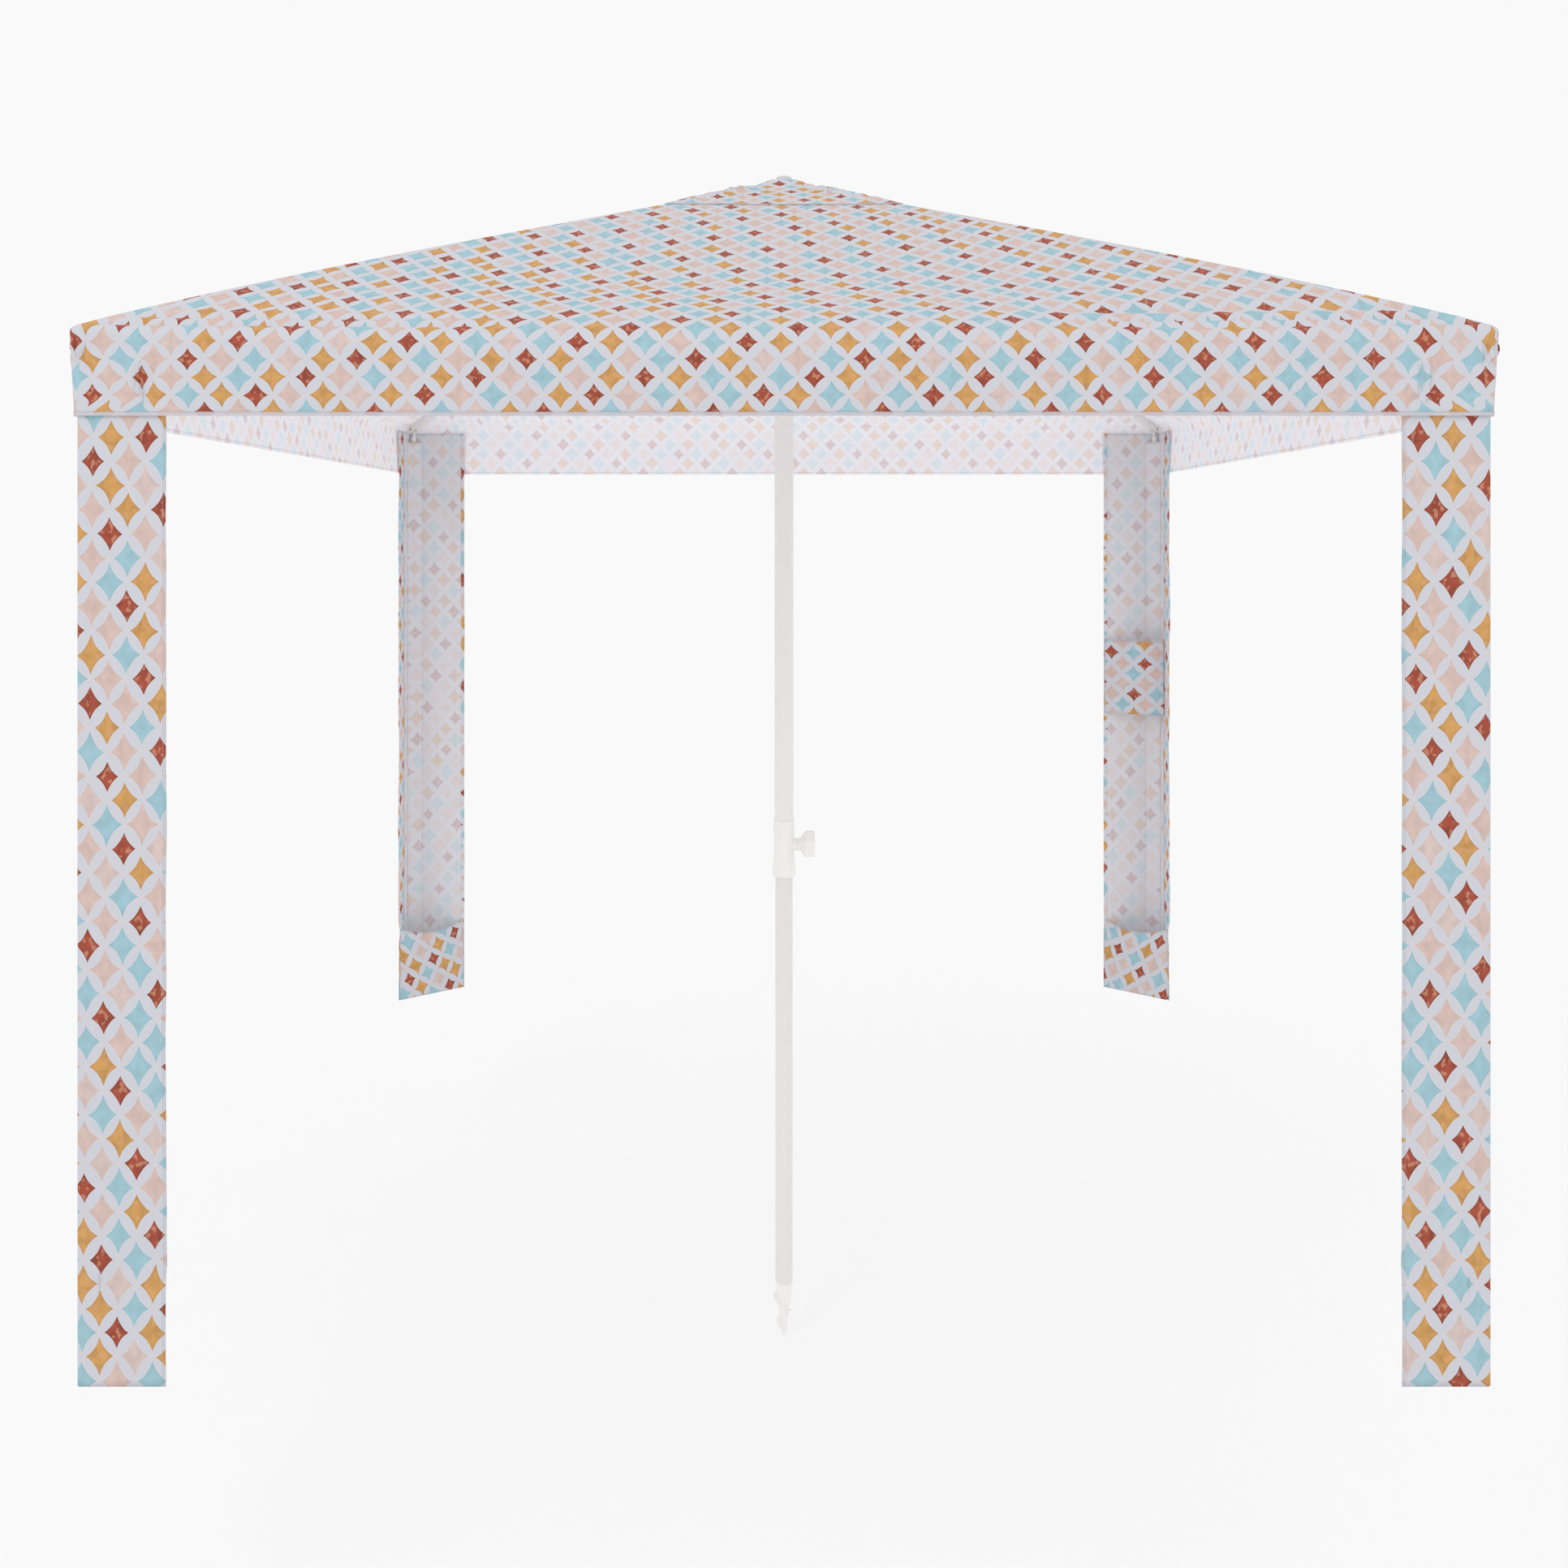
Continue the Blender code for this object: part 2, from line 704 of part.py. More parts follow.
def bracket_mesh():
    # A trough that grips the rib's end from below, with two ears for the leg's pin.
    inner = LEG_PIN[0] - BRACKET_LENGTH
    along = rib_direction(inner)
    centre = Vector((inner, rib_height(inner)))
    across = Vector((-along.y, along.x))
    outline = [
        (RIB_END, rib_height(RIB_END) - BRACKET_HALF_HEIGHT),
        tuple(centre - across * BRACKET_HALF_HEIGHT),
        tuple(centre + across * BRACKET_RISE),
        (RIB_END, rib_height(RIB_END) + BRACKET_RISE),
    ]
    outline += arc(LEG_PIN, BRACKET_EYE, BRACKET_ARC_START, BRACKET_ARC_START - 180, EYE_POINTS)
    piece = plate("corner_bracket", outline, 2 * BRACKET_HALF_WIDTH, WHITE_PLASTIC)
    start = centre - along * OVERRUN
    end_along = rib_direction(RIB_END) * GAP
    stop = (RIB_END + end_along.x, 0, rib_height(RIB_END) + end_along.y)
    reach = [inner + (RIB_END - inner) * i / SOCKET_POINTS for i in range(SOCKET_POINTS)]
    points = [in_plane(start), *[(x, 0, rib_height(x)) for x in reach], stop]
    socket = wire("socket", points, RIB_RADIUS + CLIP_BORE_CLEAR, WHITE_PLASTIC)
    slot = TONGUE / 2 + TONGUE_CLEAR
    low = (LEG_PIN[0] - BRACKET_SLOT_LENGTH, -slot, LEG_PIN[1] - OVERRUN - BRACKET_EYE)
    high = (LEG_PIN[0] + BRACKET_EYE + OVERRUN, slot, LEG_PIN[1] + OVERRUN + BRACKET_EYE)
    hole = bore_across("pin_hole", LEG_PIN, PIN_RADIUS + PIN_CLEAR)
    return cut(piece, socket, block("slot", low, high, WHITE_PLASTIC), hole), WHITE_PLASTIC


def pin_mesh(name, point, half_width):
    # A rivet: a shank through the ears, with a low head at each end.
    stem = half_width + PIN_CLEAR
    end = stem + PIN_HEAD
    outline = [
        (0, end),
        (PIN_HEAD_RADIUS - PIN_HEAD / 2, end),
        (PIN_HEAD_RADIUS, stem + PIN_HEAD / 2),
        (PIN_HEAD_RADIUS, stem),
        (PIN_RADIUS, stem),
        (PIN_RADIUS, -stem),
        (PIN_HEAD_RADIUS, -stem),
        (PIN_HEAD_RADIUS, -stem - PIN_HEAD / 2),
        (PIN_HEAD_RADIUS - PIN_HEAD / 2, -end),
        (0, -end),
    ]
    piece = turned(name, outline, STEEL, ROD_SIDES)
    turn = Matrix.Rotation(math.radians(90), 4, "X")
    piece.data.transform(Matrix.Translation(in_plane(point)) @ turn)
    return piece, STEEL


def strut_mesh():
    # A rod with a flat tongue at each end.
    top, foot = Vector(STRUT_TOP), Vector(STRUT_FOOT)
    along = (foot - top).normalized()
    inset = along * (STRUT_TONGUE_LENGTH - TONGUE_OVERLAP / 2)
    piece = rod("strut", in_plane(top + inset), in_plane(foot - inset), STRUT_RADIUS, WHITE_ROD)
    for eye, way in ((top, along), (foot, -along)):
        end = eye + way * STRUT_TONGUE_LENGTH
        outline = tongue_outline(tuple(eye), tuple(end), STRUT_EYE, STRUT_TONGUE_HALF)
        piece = united(piece, plate("tongue", outline, TONGUE, WHITE_ROD))
    return cut(piece, bore_across("pin_hole", STRUT_TOP, PIN_RADIUS + PIN_CLEAR)), WHITE_ROD


def leg_pole_mesh():
    # A pole that stands on the ground, with a tongue that hangs on the bracket's pin.
    x, z = LEG_PIN
    top = z - LEG_TONGUE_DROP
    outline = [
        (0, top),
        (LEG_POLE_RADIUS - LEG_FOOT_ROUND, top),
        (LEG_POLE_RADIUS, top - LEG_FOOT_ROUND),
        (LEG_POLE_RADIUS, LEG_FOOT_ROUND),
        (LEG_POLE_RADIUS - LEG_FOOT_ROUND, 0),
        (0, 0),
    ]
    piece = turned("leg_pole", outline, WHITE_ROD, SMALL_STEPS)
    piece.data.transform(Matrix.Translation((x, 0, 0)))
    outline = tongue_outline(LEG_PIN, (x, top - LEG_TONGUE_SUNK), LEG_EYE, LEG_EYE)
    piece = united(piece, plate("tongue", outline, TONGUE, WHITE_ROD))
    return cut(piece, bore_across("pin_hole", LEG_PIN, PIN_RADIUS + PIN_CLEAR)), WHITE_ROD


def copies(made, name):
    # One object for each corner, all sharing the mesh.
    source, finish = made
    mesh = source.data
    mesh.materials.clear()
    mesh.materials.append(material(finish))
    bpy.data.objects.remove(source, do_unlink=True)
    found = {}
    for corner, (right, back) in CORNERS.items():
        piece = add(f"{name}_{corner}", mesh, finish)
        piece.rotation_euler.z = math.atan2(back, right)
        found[corner] = piece
    return found


# Leg covers and pockets, made for the back right corner and mirrored to the others

def mirrored(corner, points):
    right, back = CORNERS[corner]
    return [[(x * right, y * back, z) for x, y, z in row] for row in points]


def turned_way(corner, rows):
    # The path runs round the back right corner, so it is reversed where it would face inwards.
    right, back = CORNERS[corner]
    rows = mirrored(corner, rows)
    return [row[::-1] for row in rows] if right * back > 0 else rows


def cover_path():
    # Plan of the cover's inner surface, from one free edge round the corner to the other.
    edge = LEG_HALF - CLOTH
    bend = edge - LEG_CORNER_ROUND
    free = LEG_HALF - LEG_WIDTH
    first = [(bend - (bend - free) * share, edge, share) for share in LEG_FLANGE_SHARES]
    turn = [(x, y, 0) for x, y in arc((bend, bend), LEG_CORNER_ROUND, 90, 0, BEND_POINTS)]
    last = [(edge, bend - (bend - free) * share, share) for share in reversed(LEG_FLANGE_SHARES)]
    return first + turn + last


def leg_cover(corner):
    path = cover_path()
    rows = []
    for j in range(LEG_ROWS + 1):
        height = LEG_TOP_Z * (1 - j / LEG_ROWS)
        fade = math.sin(math.pi * j / LEG_ROWS)
        wave = LEG_WAVE * math.sin(LEG_WAVES * 2 * math.pi * j / LEG_ROWS + LEG_WAVE_PHASE) * fade
        row = []
        for i, (x, y, share) in enumerate(path):
            outward = max(0, wave * share * share)
            on_first = i < len(path) / 2
            row.append((x + (0 if on_first else outward), y + (outward if on_first else 0), height))
        rows.append(row)
    return sheet("leg_cover_" + corner, turned_way(corner, rows), PRINTED_CLOTH)


def pocket(name, corner, depth, bulge, low_z, height, dip, finish):
    # An open bag across the corner: a front wall and a floor that leaves room for the leg pole.
    near = LEG_HALF - CLOTH - GAP
    # the front's two ends, one on each flange, and the floor's far edge round the pole
    start = Vector((LEG_HALF - LEG_WIDTH + CLOTH, near))
    end = Vector((near, near - depth))
    notch_start = Vector((near - POCKET_NOTCH, near))
    notch_end = Vector((near, near - POCKET_NOTCH))
    inward = Vector((end.y - start.y, start.x - end.x)).normalized()
    outer, inner = [], []
    for row_share in POCKET_ROW_SHARES:
        outer_row, inner_row = [], []
        for i in range(POCKET_COLUMNS + 1):
            u = i / POCKET_COLUMNS
            crown = 4 * u * (1 - u)
            top = low_z + height - dip * crown
            z = top + (low_z - top) * row_share
            swell = bulge * crown * (1 - row_share * row_share)
            out = start.lerp(end, u) + inward * swell
            # the inner face keeps to the flanges at the wall's two ends
            if i == 0:
                back = Vector((start.x + CLOTH, start.y))
            elif i == POCKET_COLUMNS:
                back = Vector((end.x, end.y + CLOTH))
            else:
                back = out - inward * CLOTH
            outer_row.append((out.x, out.y, z))
            inner_row.append((back.x, back.y, max(z, low_z + CLOTH)))
        outer.append(outer_row)
        inner.append(inner_row)
    outer_row, inner_row = [], []
    for i in range(POCKET_COLUMNS + 1):
        at = notch_start.lerp(notch_end, i / POCKET_COLUMNS)
        outer_row.append((at.x, at.y, low_z))
        inner_row.append((at.x, at.y, low_z + CLOTH))
    outer.append(outer_row)
    inner.append(inner_row)
    inner = mirrored(corner, inner)
    outer = mirrored(corner, outer)
    return shell_between(name, inner, outer, finish)


# Pole, hub, finial and ring

def tube(name, radius, wall, low, high, finish):
    inner = radius - wall
    return turned(name, [(radius, high), (radius, low), (inner, low), (inner, high)], finish, ring=True)


def upper_tube():
    end = HUB_TOP_Z - HUB_ROOF - GAP
    piece = tube("upper_tube", POLE_RADIUS, POLE_WALL, POLE_BOTTOM_Z, end, WHITE_ENAMEL)
    top = RUNNER_Z - RUNNER_DEPTH
    half = CATCH_WIDTH / 2 + WINDOW_CLEAR
    low = (-half, 0, top - GAP - CATCH_NOSE_HEIGHT - WINDOW_CLEAR)
    high = (half, POLE_RADIUS + OVERRUN, top + WINDOW_CLEAR)
    return cut(piece, block("window", low, high, WHITE_ENAMEL))


def lower_tube():
    return tube("lower_tube", LOWER_RADIUS, LOWER_WALL, LOWER_BOTTOM_Z, LOWER_TOP_Z, WHITE_ENAMEL)


def tube_plug():
    # Closes the lower tube's top, inside the upper tube.
    inner = LOWER_RADIUS - LOWER_WALL - GAP
    low = LOWER_TOP_Z - CAP_PLUG_DEPTH
    seat = LOWER_TOP_Z + GAP
    top = seat + CAP_PLUG_HEAD
    edge = CAP_PLUG_HEAD / 3
    outline = [
        (0, top),
        (LOWER_RADIUS - edge, top),
        (LOWER_RADIUS, top - edge),
        (LOWER_RADIUS, seat),
        (inner, seat),
        (inner, low),
        (inner - POLE_WALL, low),
        (inner - POLE_WALL, seat),
        (0, seat),
    ]
    return turned("tube_plug", outline, GREY_PLASTIC)


def hub_outline():
    top = HUB_TOP_Z
    low = top - HUB_HEIGHT
    neck = low - HUB_NECK_DEPTH
    bore = POLE_RADIUS + GAP
    return [
        (HUB_RADIUS - HUB_EDGE, top),
        (HUB_RADIUS, top - HUB_EDGE),
        (HUB_RADIUS, low + HUB_EDGE),
        (HUB_RADIUS - HUB_EDGE, low),
        (HUB_NECK_RADIUS, low),
        (HUB_NECK_RADIUS, neck + HUB_EDGE),
        (HUB_NECK_RADIUS - HUB_EDGE, neck),
        (bore, neck),
        (bore, top - HUB_ROOF),
        (FINIAL_BOLT + GAP, top - HUB_ROOF),
        (FINIAL_BOLT + GAP, top),
        (RING_RADIUS - RING_CHANNEL, top),
        (RING_RADIUS - RING_CHANNEL, PIVOT[1] - RING_CHANNEL),
        (RING_RADIUS + RING_CHANNEL, PIVOT[1] - RING_CHANNEL),
        (RING_RADIUS + RING_CHANNEL, top),
    ]


def radial_slots(piece, inner, outer, half_width, low, high, finish):
    # Four slots, one towards each corner.
    for right, back in CORNERS.values():
        cutter = block("slot", (inner, -half_width, low), (outer, half_width, high), finish)
        cutter.data.transform(Matrix.Rotation(math.atan2(back, right), 4, "Z"))
        piece = cut(piece, cutter)
    return piece


def top_hub():
    piece = turned("top_hub", hub_outline(), WHITE_PLASTIC, ring=True)
    low = HUB_TOP_Z - HUB_HEIGHT
    inner = RING_RADIUS - TONGUE_EYE - TONGUE_CLEAR
    half = TONGUE / 2 + TONGUE_CLEAR
    outer, high = HUB_RADIUS + OVERRUN, HUB_TOP_Z + OVERRUN
    return radial_slots(piece, inner, outer, half, low - OVERRUN / 2, high, WHITE_PLASTIC)


def hub_ring():
    # The wire ring that the ribs turn on.
    bpy.ops.mesh.primitive_torus_add(
        location=(0, 0, PIVOT[1]), major_radius=RING_RADIUS, minor_radius=RING_WIRE,
        major_segments=RING_STEPS, minor_segments=RING_SIDES,
    )
    piece = bpy.context.object
    piece.name = "hub_ring"
    for owner in list(piece.users_collection):
        owner.objects.unlink(piece)
    PARTS.objects.link(piece)
    piece.data.materials.append(material(STEEL))
    bpy.context.view_layer.update()
    return finished(piece)


def finial_cap():
    # A low mushroom over the vent cap's hole, bolted into the hub.
    t = CAP_HOLE / CANOPY_HALF
    cloth_top = ridge_height(t) + 2 * CLOTH * FACE_GROWTH + CAP_LIFT
    seat = cloth_top + GAP
    top = seat + FINIAL_HEIGHT
    crown = []
    for i in range(CROWN_POINTS):
        turn = math.pi / 2 * i / (CROWN_POINTS - 1)
        crown.append((FINIAL_RADIUS * math.sin(turn), top - FINIAL_CROWN * (1 - math.cos(turn))))
    crown += [
        (FINIAL_RADIUS, seat + FINIAL_FOOT),
        (FINIAL_FOOT_RADIUS - FINIAL_EDGE, seat + FINIAL_FOOT),
        (FINIAL_FOOT_RADIUS, seat + FINIAL_FOOT - FINIAL_EDGE),
        (FINIAL_FOOT_RADIUS, seat),
        (FINIAL_STEM, seat),
        (FINIAL_STEM, HUB_TOP_Z + GAP),
        (FINIAL_BOLT, HUB_TOP_Z + GAP),
        (FINIAL_BOLT, HUB_TOP_Z - HUB_ROOF - FINIAL_BOLT),
        (0, HUB_TOP_Z - HUB_ROOF - FINIAL_BOLT),
    ]
    return turned("finial_cap", crown, WHITE_PLASTIC, BOSS_STEPS)


# Collar, knob and screw

def joiner_collar():
    top, low = COLLAR_TOP_Z, COLLAR_BOTTOM_Z
    tall = top - low
    outline = [(0, top), (COLLAR_TOP_RADIUS - COLLAR_EDGE, top), (COLLAR_TOP_RADIUS, top - COLLAR_EDGE)]
    waist = COLLAR_WAIST_RADIUS
    for end, shares in ((COLLAR_TOP_RADIUS, COLLAR_UPPER_SHARES), (COLLAR_FOOT_RADIUS, COLLAR_LOWER_SHARES)):
        outline += [(waist + (end - waist) * swell, top - tall * drop) for drop, swell in shares]
    outline += [(COLLAR_FOOT_RADIUS, low + COLLAR_LIP), (COLLAR_FOOT_RADIUS - COLLAR_EDGE, low), (0, low)]
    piece = turned("joiner_collar", outline, WHITE_PLASTIC)
    boss = rod("boss", (0, 0, CLAMP_Z), (BOSS_END, 0, CLAMP_Z), BOSS_RADIUS, WHITE_PLASTIC, BOSS_STEPS)
    piece = united(piece, boss)
    step = POLE_BOTTOM_Z - GAP
    bore = [
        (0, top + OVERRUN),
        (POLE_RADIUS + GAP, top + OVERRUN),
        (POLE_RADIUS + GAP, step),
        (LOWER_RADIUS + GAP, step),
        (LOWER_RADIUS + GAP, low - OVERRUN),
        (0, low - OVERRUN),
    ]
    start, end = (0, 0, CLAMP_Z), (BOSS_END + OVERRUN, 0, CLAMP_Z)
    hole = rod("screw_hole", start, end, SCREW_RADIUS + GAP, WHITE_PLASTIC, SMALL_STEPS)
    return cut(piece, turned("bore", bore, WHITE_PLASTIC), hole)


def knob_ring(x, radius, lobe):
    # One section of the knob: a round outline with shallow hollows between its lobes.
    ring = []
    for i in range(KNOB_POINTS):
        angle = 2 * math.pi * i / KNOB_POINTS
        hollow = (1 - math.cos(KNOB_LOBES * angle)) / 2
        reach = radius - lobe * hollow
        ring.append((x, -reach * math.sin(angle), CLAMP_Z + reach * math.cos(angle)))
    return ring


def clamp_knob():
    # A lobed hand knob: a neck that flares to the grip, with a blind bore for the screw.
    start = BOSS_END + GAP
    flare = (KNOB_RADIUS - NECK_RADIUS) / 2
    rings = [
        knob_ring(start, NECK_RADIUS, 0),
        knob_ring(KNOB_START - KNOB_EDGE, NECK_RADIUS, 0),
        knob_ring(KNOB_START + KNOB_EDGE, NECK_RADIUS + flare, KNOB_LOBE_DEPTH / 2),
        knob_ring(KNOB_START + 3 * KNOB_EDGE, KNOB_RADIUS - KNOB_EDGE, KNOB_LOBE_DEPTH),
        knob_ring(KNOB_START + 4 * KNOB_EDGE, KNOB_RADIUS, KNOB_LOBE_DEPTH),
        knob_ring(KNOB_END - KNOB_EDGE, KNOB_RADIUS, KNOB_LOBE_DEPTH),
        knob_ring(KNOB_END, KNOB_RADIUS - KNOB_EDGE, KNOB_LOBE_DEPTH),
    ]
    work = bmesh.new()
    loops = [[work.verts.new(point) for point in ring] for ring in rings]
    for near, far in zip(loops, loops[1:]):
        for i in range(KNOB_POINTS):
            j = (i + 1) % KNOB_POINTS
            work.faces.new((near[i], near[j], far[j], far[i]))
    work.faces.new(loops[0][::-1])
    work.faces.new(loops[-1])
    bmesh.ops.recalc_face_normals(work, faces=work.faces)
    mesh = bpy.data.meshes.new("clamp_knob")
    work.to_mesh(mesh)
    work.free()
    piece = add("clamp_knob", mesh, WHITE_PLASTIC)
    mouth, floor = (start - OVERRUN, 0, CLAMP_Z), (KNOB_START + SCREW_DEPTH + GAP, 0, CLAMP_Z)
    return cut(piece, rod("bore", mouth, floor, SCREW_RADIUS + GAP, WHITE_PLASTIC, SMALL_STEPS))


def clamp_screw():
    start = LOWER_RADIUS + SCREW_CLEAR
    end = KNOB_START + SCREW_DEPTH
    return rod("clamp_screw", (start, 0, CLAMP_Z), (end, 0, CLAMP_Z), SCREW_RADIUS, STEEL, SMALL_STEPS)


# Runner and its catch

def runner():
    z = RUNNER_Z
    top, low = z + RUNNER_RISE, z - RUNNER_DEPTH
    bore = POLE_RADIUS + RUNNER_BORE_CLEAR
    flange_top, flange_low = z + RUNNER_FLANGE_HALF, z - RUNNER_FLANGE_HALF
    outline = [
        (RUNNER_CORE - RUNNER_EDGE, top),
        (RUNNER_CORE, top - RUNNER_EDGE),
        (RUNNER_CORE, flange_top),
        (RUNNER_FLANGE - RUNNER_EDGE, flange_top),
        (RUNNER_FLANGE, flange_top - RUNNER_EDGE),
        (RUNNER_FLANGE, flange_low + RUNNER_EDGE),
        (RUNNER_FLANGE - RUNNER_EDGE, flange_low),
        (RUNNER_CORE, flange_low),
        (RUNNER_CORE, low + RUNNER_GRIP_RISE),
        (RUNNER_GRIP, low + RUNNER_GRIP_LIP),
        (RUNNER_GRIP, low + RUNNER_EDGE),
        (RUNNER_GRIP - RUNNER_EDGE, low),
        (bore, low),
        (bore, top),
    ]
    piece = turned("runner", outline, WHITE_PLASTIC, ring=True)
    inner = RING_RADIUS - STRUT_EYE - 2 * TONGUE_CLEAR
    half = STRUT_RADIUS + RUNNER_SLOT_CLEAR
    outer, high = RUNNER_FLANGE + OVERRUN, flange_top + OVERRUN
    return radial_slots(piece, inner, outer, half, flange_low - OVERRUN / 2, high, WHITE_PLASTIC)


def runner_catch():
    # A leaf spring inside the pole whose nose stands out under the runner.
    top = RUNNER_Z - RUNNER_DEPTH - GAP
    back = POLE_RADIUS - POLE_WALL - CATCH_WALL_GAP
    inner = back - CATCH_LEAF
    nose = POLE_RADIUS + CATCH_NOSE
    outline = [
        (inner, top + CATCH_LEAF_RISE),
        (inner, top - CATCH_LEAF_LENGTH),
        (back, top - CATCH_LEAF_LENGTH),
        (back, top - CATCH_NOSE_HEIGHT),
        (nose, top - CATCH_NOSE_FLAT),
        (nose, top),
        (back, top),
        (back, top + CATCH_LEAF_RISE),
    ]
    piece = plate("runner_catch", outline, CATCH_WIDTH, STEEL)
    piece.data.transform(Matrix.Rotation(math.radians(90), 4, "Z"))
    return piece


# Auger

def auger_radius(depth):
    # Radius of the auger's core at a depth below the tube.
    if depth <= AUGER_SHANK:
        return AUGER_RADIUS
    if depth <= AUGER_MID_DEPTH:
        share = (depth - AUGER_SHANK) / (AUGER_MID_DEPTH - AUGER_SHANK)
        return AUGER_RADIUS + (AUGER_MID_RADIUS - AUGER_RADIUS) * share
    share = (depth - AUGER_MID_DEPTH) / (AUGER_LENGTH - AUGER_TIP_ROUND - AUGER_MID_DEPTH)
    return AUGER_MID_RADIUS + (AUGER_TIP_RADIUS - AUGER_MID_RADIUS) * share


def flight():
    # The screw's blade: a thin wedge that winds down the core and narrows with it.
    steps = round(FLIGHT_TURNS * FLIGHT_STEPS_PER_TURN)
    work = bmesh.new()
    rings = []
    for i in range(steps + 1):
        angle = 2 * math.pi * i / FLIGHT_STEPS_PER_TURN + math.radians(FLIGHT_START_TURN)
        depth = FLIGHT_START + FLIGHT_ROOT / 2 + FLIGHT_PITCH * i / FLIGHT_STEPS_PER_TURN
        share = i / steps
        ends = min(1, min(i, steps - i) * FLIGHT_PITCH / FLIGHT_STEPS_PER_TURN / FLIGHT_RUN_IN)
        core = auger_radius(depth)
        full = FLIGHT_TOP_REACH + (FLIGHT_END_REACH - FLIGHT_TOP_REACH) * share
        reach = core + (full - core) * (FLIGHT_END_SHARE + (1 - FLIGHT_END_SHARE) * ends)
        inner = core * FLIGHT_ROOT_SHARE
        section = [
            (inner, FLIGHT_ROOT / 2),
            (inner, -FLIGHT_ROOT / 2),
            (reach, -FLIGHT_EDGE / 2),
            (reach, FLIGHT_EDGE / 2),
        ]
        z = LOWER_BOTTOM_Z - depth
        rings.append(
            [work.verts.new((r * math.cos(angle), r * math.sin(angle), z + lift)) for r, lift in section]
        )
    for near, far in zip(rings, rings[1:]):
        for i in range(len(near)):
            j = (i + 1) % len(near)
            work.faces.new((near[i], near[j], far[j], far[i]))
    work.faces.new(rings[0][::-1])
    work.faces.new(rings[-1])
    bmesh.ops.recalc_face_normals(work, faces=work.faces)
    mesh = bpy.data.meshes.new("flight")
    work.to_mesh(mesh)
    work.free()
    return add("flight", mesh, WHITE_PLASTIC)


def sand_auger():
    seat = LOWER_BOTTOM_Z - GAP
    tip = LOWER_BOTTOM_Z - AUGER_LENGTH
    spigot = LOWER_RADIUS - LOWER_WALL - GAP
    outline = [
        (0, LOWER_BOTTOM_Z + AUGER_SPIGOT),
        (spigot - LOWER_WALL, LOWER_BOTTOM_Z + AUGER_SPIGOT),
        (spigot, LOWER_BOTTOM_Z + AUGER_SPIGOT - LOWER_WALL),
        (spigot, seat),
        (AUGER_RADIUS, seat - GAP),
        (AUGER_RADIUS, LOWER_BOTTOM_Z - AUGER_SHANK),
        (AUGER_MID_RADIUS, LOWER_BOTTOM_Z - AUGER_MID_DEPTH),
    ]
    for i in range(TIP_POINTS):
        turn = math.pi / 2 * i / (TIP_POINTS - 1)
        outline.append((AUGER_TIP_RADIUS * math.cos(turn), tip + AUGER_TIP_ROUND * (1 - math.sin(turn))))
    return united(turned("sand_auger", outline, WHITE_PLASTIC, BOSS_STEPS), flight())


# Assembly

def joint_empty(name, place, parent=None):
    # An empty on a joint's axis, which carries the pieces that move with it.
    made = bpy.data.objects.new(name, None)
    PARTS.objects.link(made)
    made.location = place
    bpy.context.view_layer.update()
    if parent:
        carry(parent, made)
    return made


def carry(parent, *pieces):
    bpy.context.view_layer.update()
    for piece in pieces:
        piece.parent = parent
        piece.matrix_parent_inverse = parent.matrix_world.inverted()


def around(corner, point):
    # A point of the rib's plane, turned to one corner.
    right, back = CORNERS[corner]
    return (point[0] * right / DIAGONAL, point[0] * back / DIAGONAL, point[1])


def build():
    ground = joint_empty("ground_pole_at_ground", (0, 0, 0))
    carry(ground, lower_tube(), tube_plug(), sand_auger())
    mast = joint_empty("mast_slide", (0, 0, COLLAR_BOTTOM_Z), ground)
    carry(mast, upper_tube(), joiner_collar(), top_hub(), hub_ring(), finial_cap(), vent_cap())
    for side in SIDES:
        carry(mast, roof_panel(side), valance(side))
    knob = joint_empty("knob_axis", (BOSS_END, 0, CLAMP_Z), mast)
    carry(knob, clamp_knob(), clamp_screw())
    slide = joint_empty("runner_slide", (0, 0, RUNNER_Z), mast)
    carry(slide, runner())
    catch = joint_empty("catch_press", (0, POLE_RADIUS, RUNNER_Z - RUNNER_DEPTH), mast)
    carry(catch, runner_catch())
    ribs = copies(rib_mesh(), "rib")
    clips = copies(clip_mesh(), "strut_clip")
    brackets = copies(bracket_mesh(), "corner_bracket")
    strut_pins = copies(pin_mesh("strut_pin", STRUT_TOP, CLIP_HALF_WIDTH), "strut_pin")
    leg_pins = copies(pin_mesh("leg_pin", LEG_PIN, BRACKET_HALF_WIDTH), "leg_pin")
    struts = copies(strut_mesh(), "strut")
    poles = copies(leg_pole_mesh(), "leg_pole")
    for corner in CORNERS:
        rib = joint_empty("rib_hinge_" + corner, around(corner, PIVOT), mast)
        carry(rib, ribs[corner], clips[corner], brackets[corner], strut_pins[corner], leg_pins[corner])
        strut = joint_empty("strut_hinge_" + corner, around(corner, STRUT_TOP), rib)
        carry(strut, struts[corner])
        leg = joint_empty("leg_hinge_" + corner, around(corner, LEG_PIN), rib)
        sand = pocket(
            "sand_pocket_" + corner, corner, LEG_WIDTH - 2 * CLOTH, SAND_POCKET_BULGE,
            0, SAND_POCKET_HEIGHT, SAND_POCKET_DIP, POCKET_CLOTH,
        )
        carry(leg, poles[corner], leg_cover(corner), sand)
        if corner == "back_right":
            store = pocket(
                "storage_pocket", corner, STORE_DEPTH, STORE_BULGE,
                STORE_BOTTOM_Z, STORE_HEIGHT, STORE_DIP, POCKET_CLOTH,
            )
            carry(leg, store)


clear_scene()
PARTS = collection("beach_tent")
CUTTERS = collection("cutters")
build()
bpy.context.view_layer.update()
places = {"hub pivot": PIVOT, "strut top": STRUT_TOP, "strut foot": STRUT_FOOT, "leg pin": LEG_PIN}
for label, point in places.items():
    print(label, "distance", round(point[0], 5), "height", round(point[1], 5))
